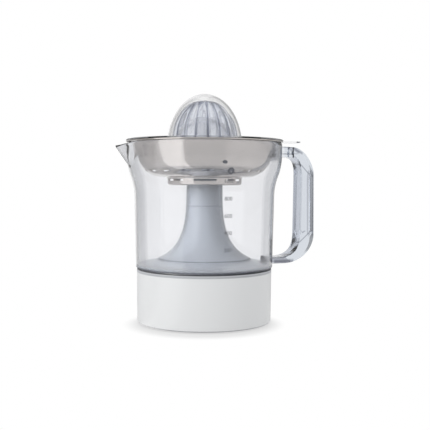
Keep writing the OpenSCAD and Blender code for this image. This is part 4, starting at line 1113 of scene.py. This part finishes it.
def area_light(name, location, size, energy, size_y=None):
    """A soft lamp that lights matt surfaces; gloss mirrors the room instead."""
    light = bpy.data.lights.new(name, "AREA")
    light.energy = energy
    light.size = size
    light.specular_factor = 0
    if size_y:
        light.shape = "RECTANGLE"
        light.size_y = size_y
    obj = bpy.data.objects.new(name, light)
    obj.location = location
    obj.rotation_mode = "QUATERNION"
    obj.rotation_quaternion = (Vector(LAMP_TARGET) - Vector(location)).to_track_quat("-Z", "Y")
    obj.visible_glossy = False
    obj.visible_transmission = False
    bpy.context.scene.collection.objects.link(obj)
    return obj


def side_point(right, back, up):
    """A point given from the camera's side: right, away from the camera and up, in metres."""
    return (right * math.cos(YAW) - back * math.sin(YAW), right * math.sin(YAW) + back * math.cos(YAW), up)


def build_lights():
    """Key, fill and top lamps, and a warm glint that only the tower mirrors."""
    area_light("key_left", side_point(-0.80, -0.62, 0.30), 0.5, 5.5, 1.3)
    area_light("fill_right", side_point(0.85, -0.75, 0.35), 0.5, 1.4, 1.2)
    area_light("top", side_point(0, 0.1, 1.1), 0.9, 3.2)
    glint = area_light("tower_glint", side_point(-0.88, -0.48, 0.25), 0.45, 20, 1.0)
    glint.data.color = (1, 0.95, 0.88)
    glint.data.diffuse_factor = 0
    glint.data.specular_factor = 1
    glint.visible_glossy = True
    lit = bpy.data.collections.new("tower_pieces")
    for name in ("tower_cover", "tower_cap"):
        lit.objects.link(frame["nodes"][name])
    glint.light_linking.receiver_collection = lit


def build_camera():
    """Camera at the horizon's height, turned by YAW about the object's axis and aimed for the frame."""
    cam = bpy.data.cameras.new("camera")
    cam.sensor_width = SENSOR
    cam.lens = FOCAL_PX / FRAME_PX * SENSOR
    cam.clip_start = 0.01
    obj = bpy.data.objects.new("camera", cam)
    bpy.context.scene.collection.objects.link(obj)
    half = FRAME_PX / 2
    height = (BASE_ROW_PX - HORIZON_PX) * DISTANCE / FOCAL_PX * MM
    aim_up = (BASE_ROW_PX - half) * DISTANCE / FOCAL_PX * MM
    aim_right = (half - AXIS_PX) * DISTANCE / FOCAL_PX * MM
    obj.location = side_point(aim_right, -DISTANCE * MM, height)
    target = side_point(aim_right, 0, aim_up)
    obj.rotation_mode = "QUATERNION"
    aim = (Vector(target) - obj.location).to_track_quat("-Z", "Y")
    obj.rotation_quaternion = aim @ Quaternion((0, 0, 1), ROLL)
    bpy.context.scene.camera = obj


scene = bpy.context.scene
scene.view_settings.view_transform = "Standard"
scene.cycles.max_bounces = BOUNCES
scene.cycles.transmission_bounces = BOUNCES
scene.cycles.transparent_max_bounces = BOUNCES

build_camera()
build_world()
build_floor()
dress_nodes()
build_jug()
build_marks()
build_bowl()
build_cone()
build_cover()
build_spring()
build_lights()
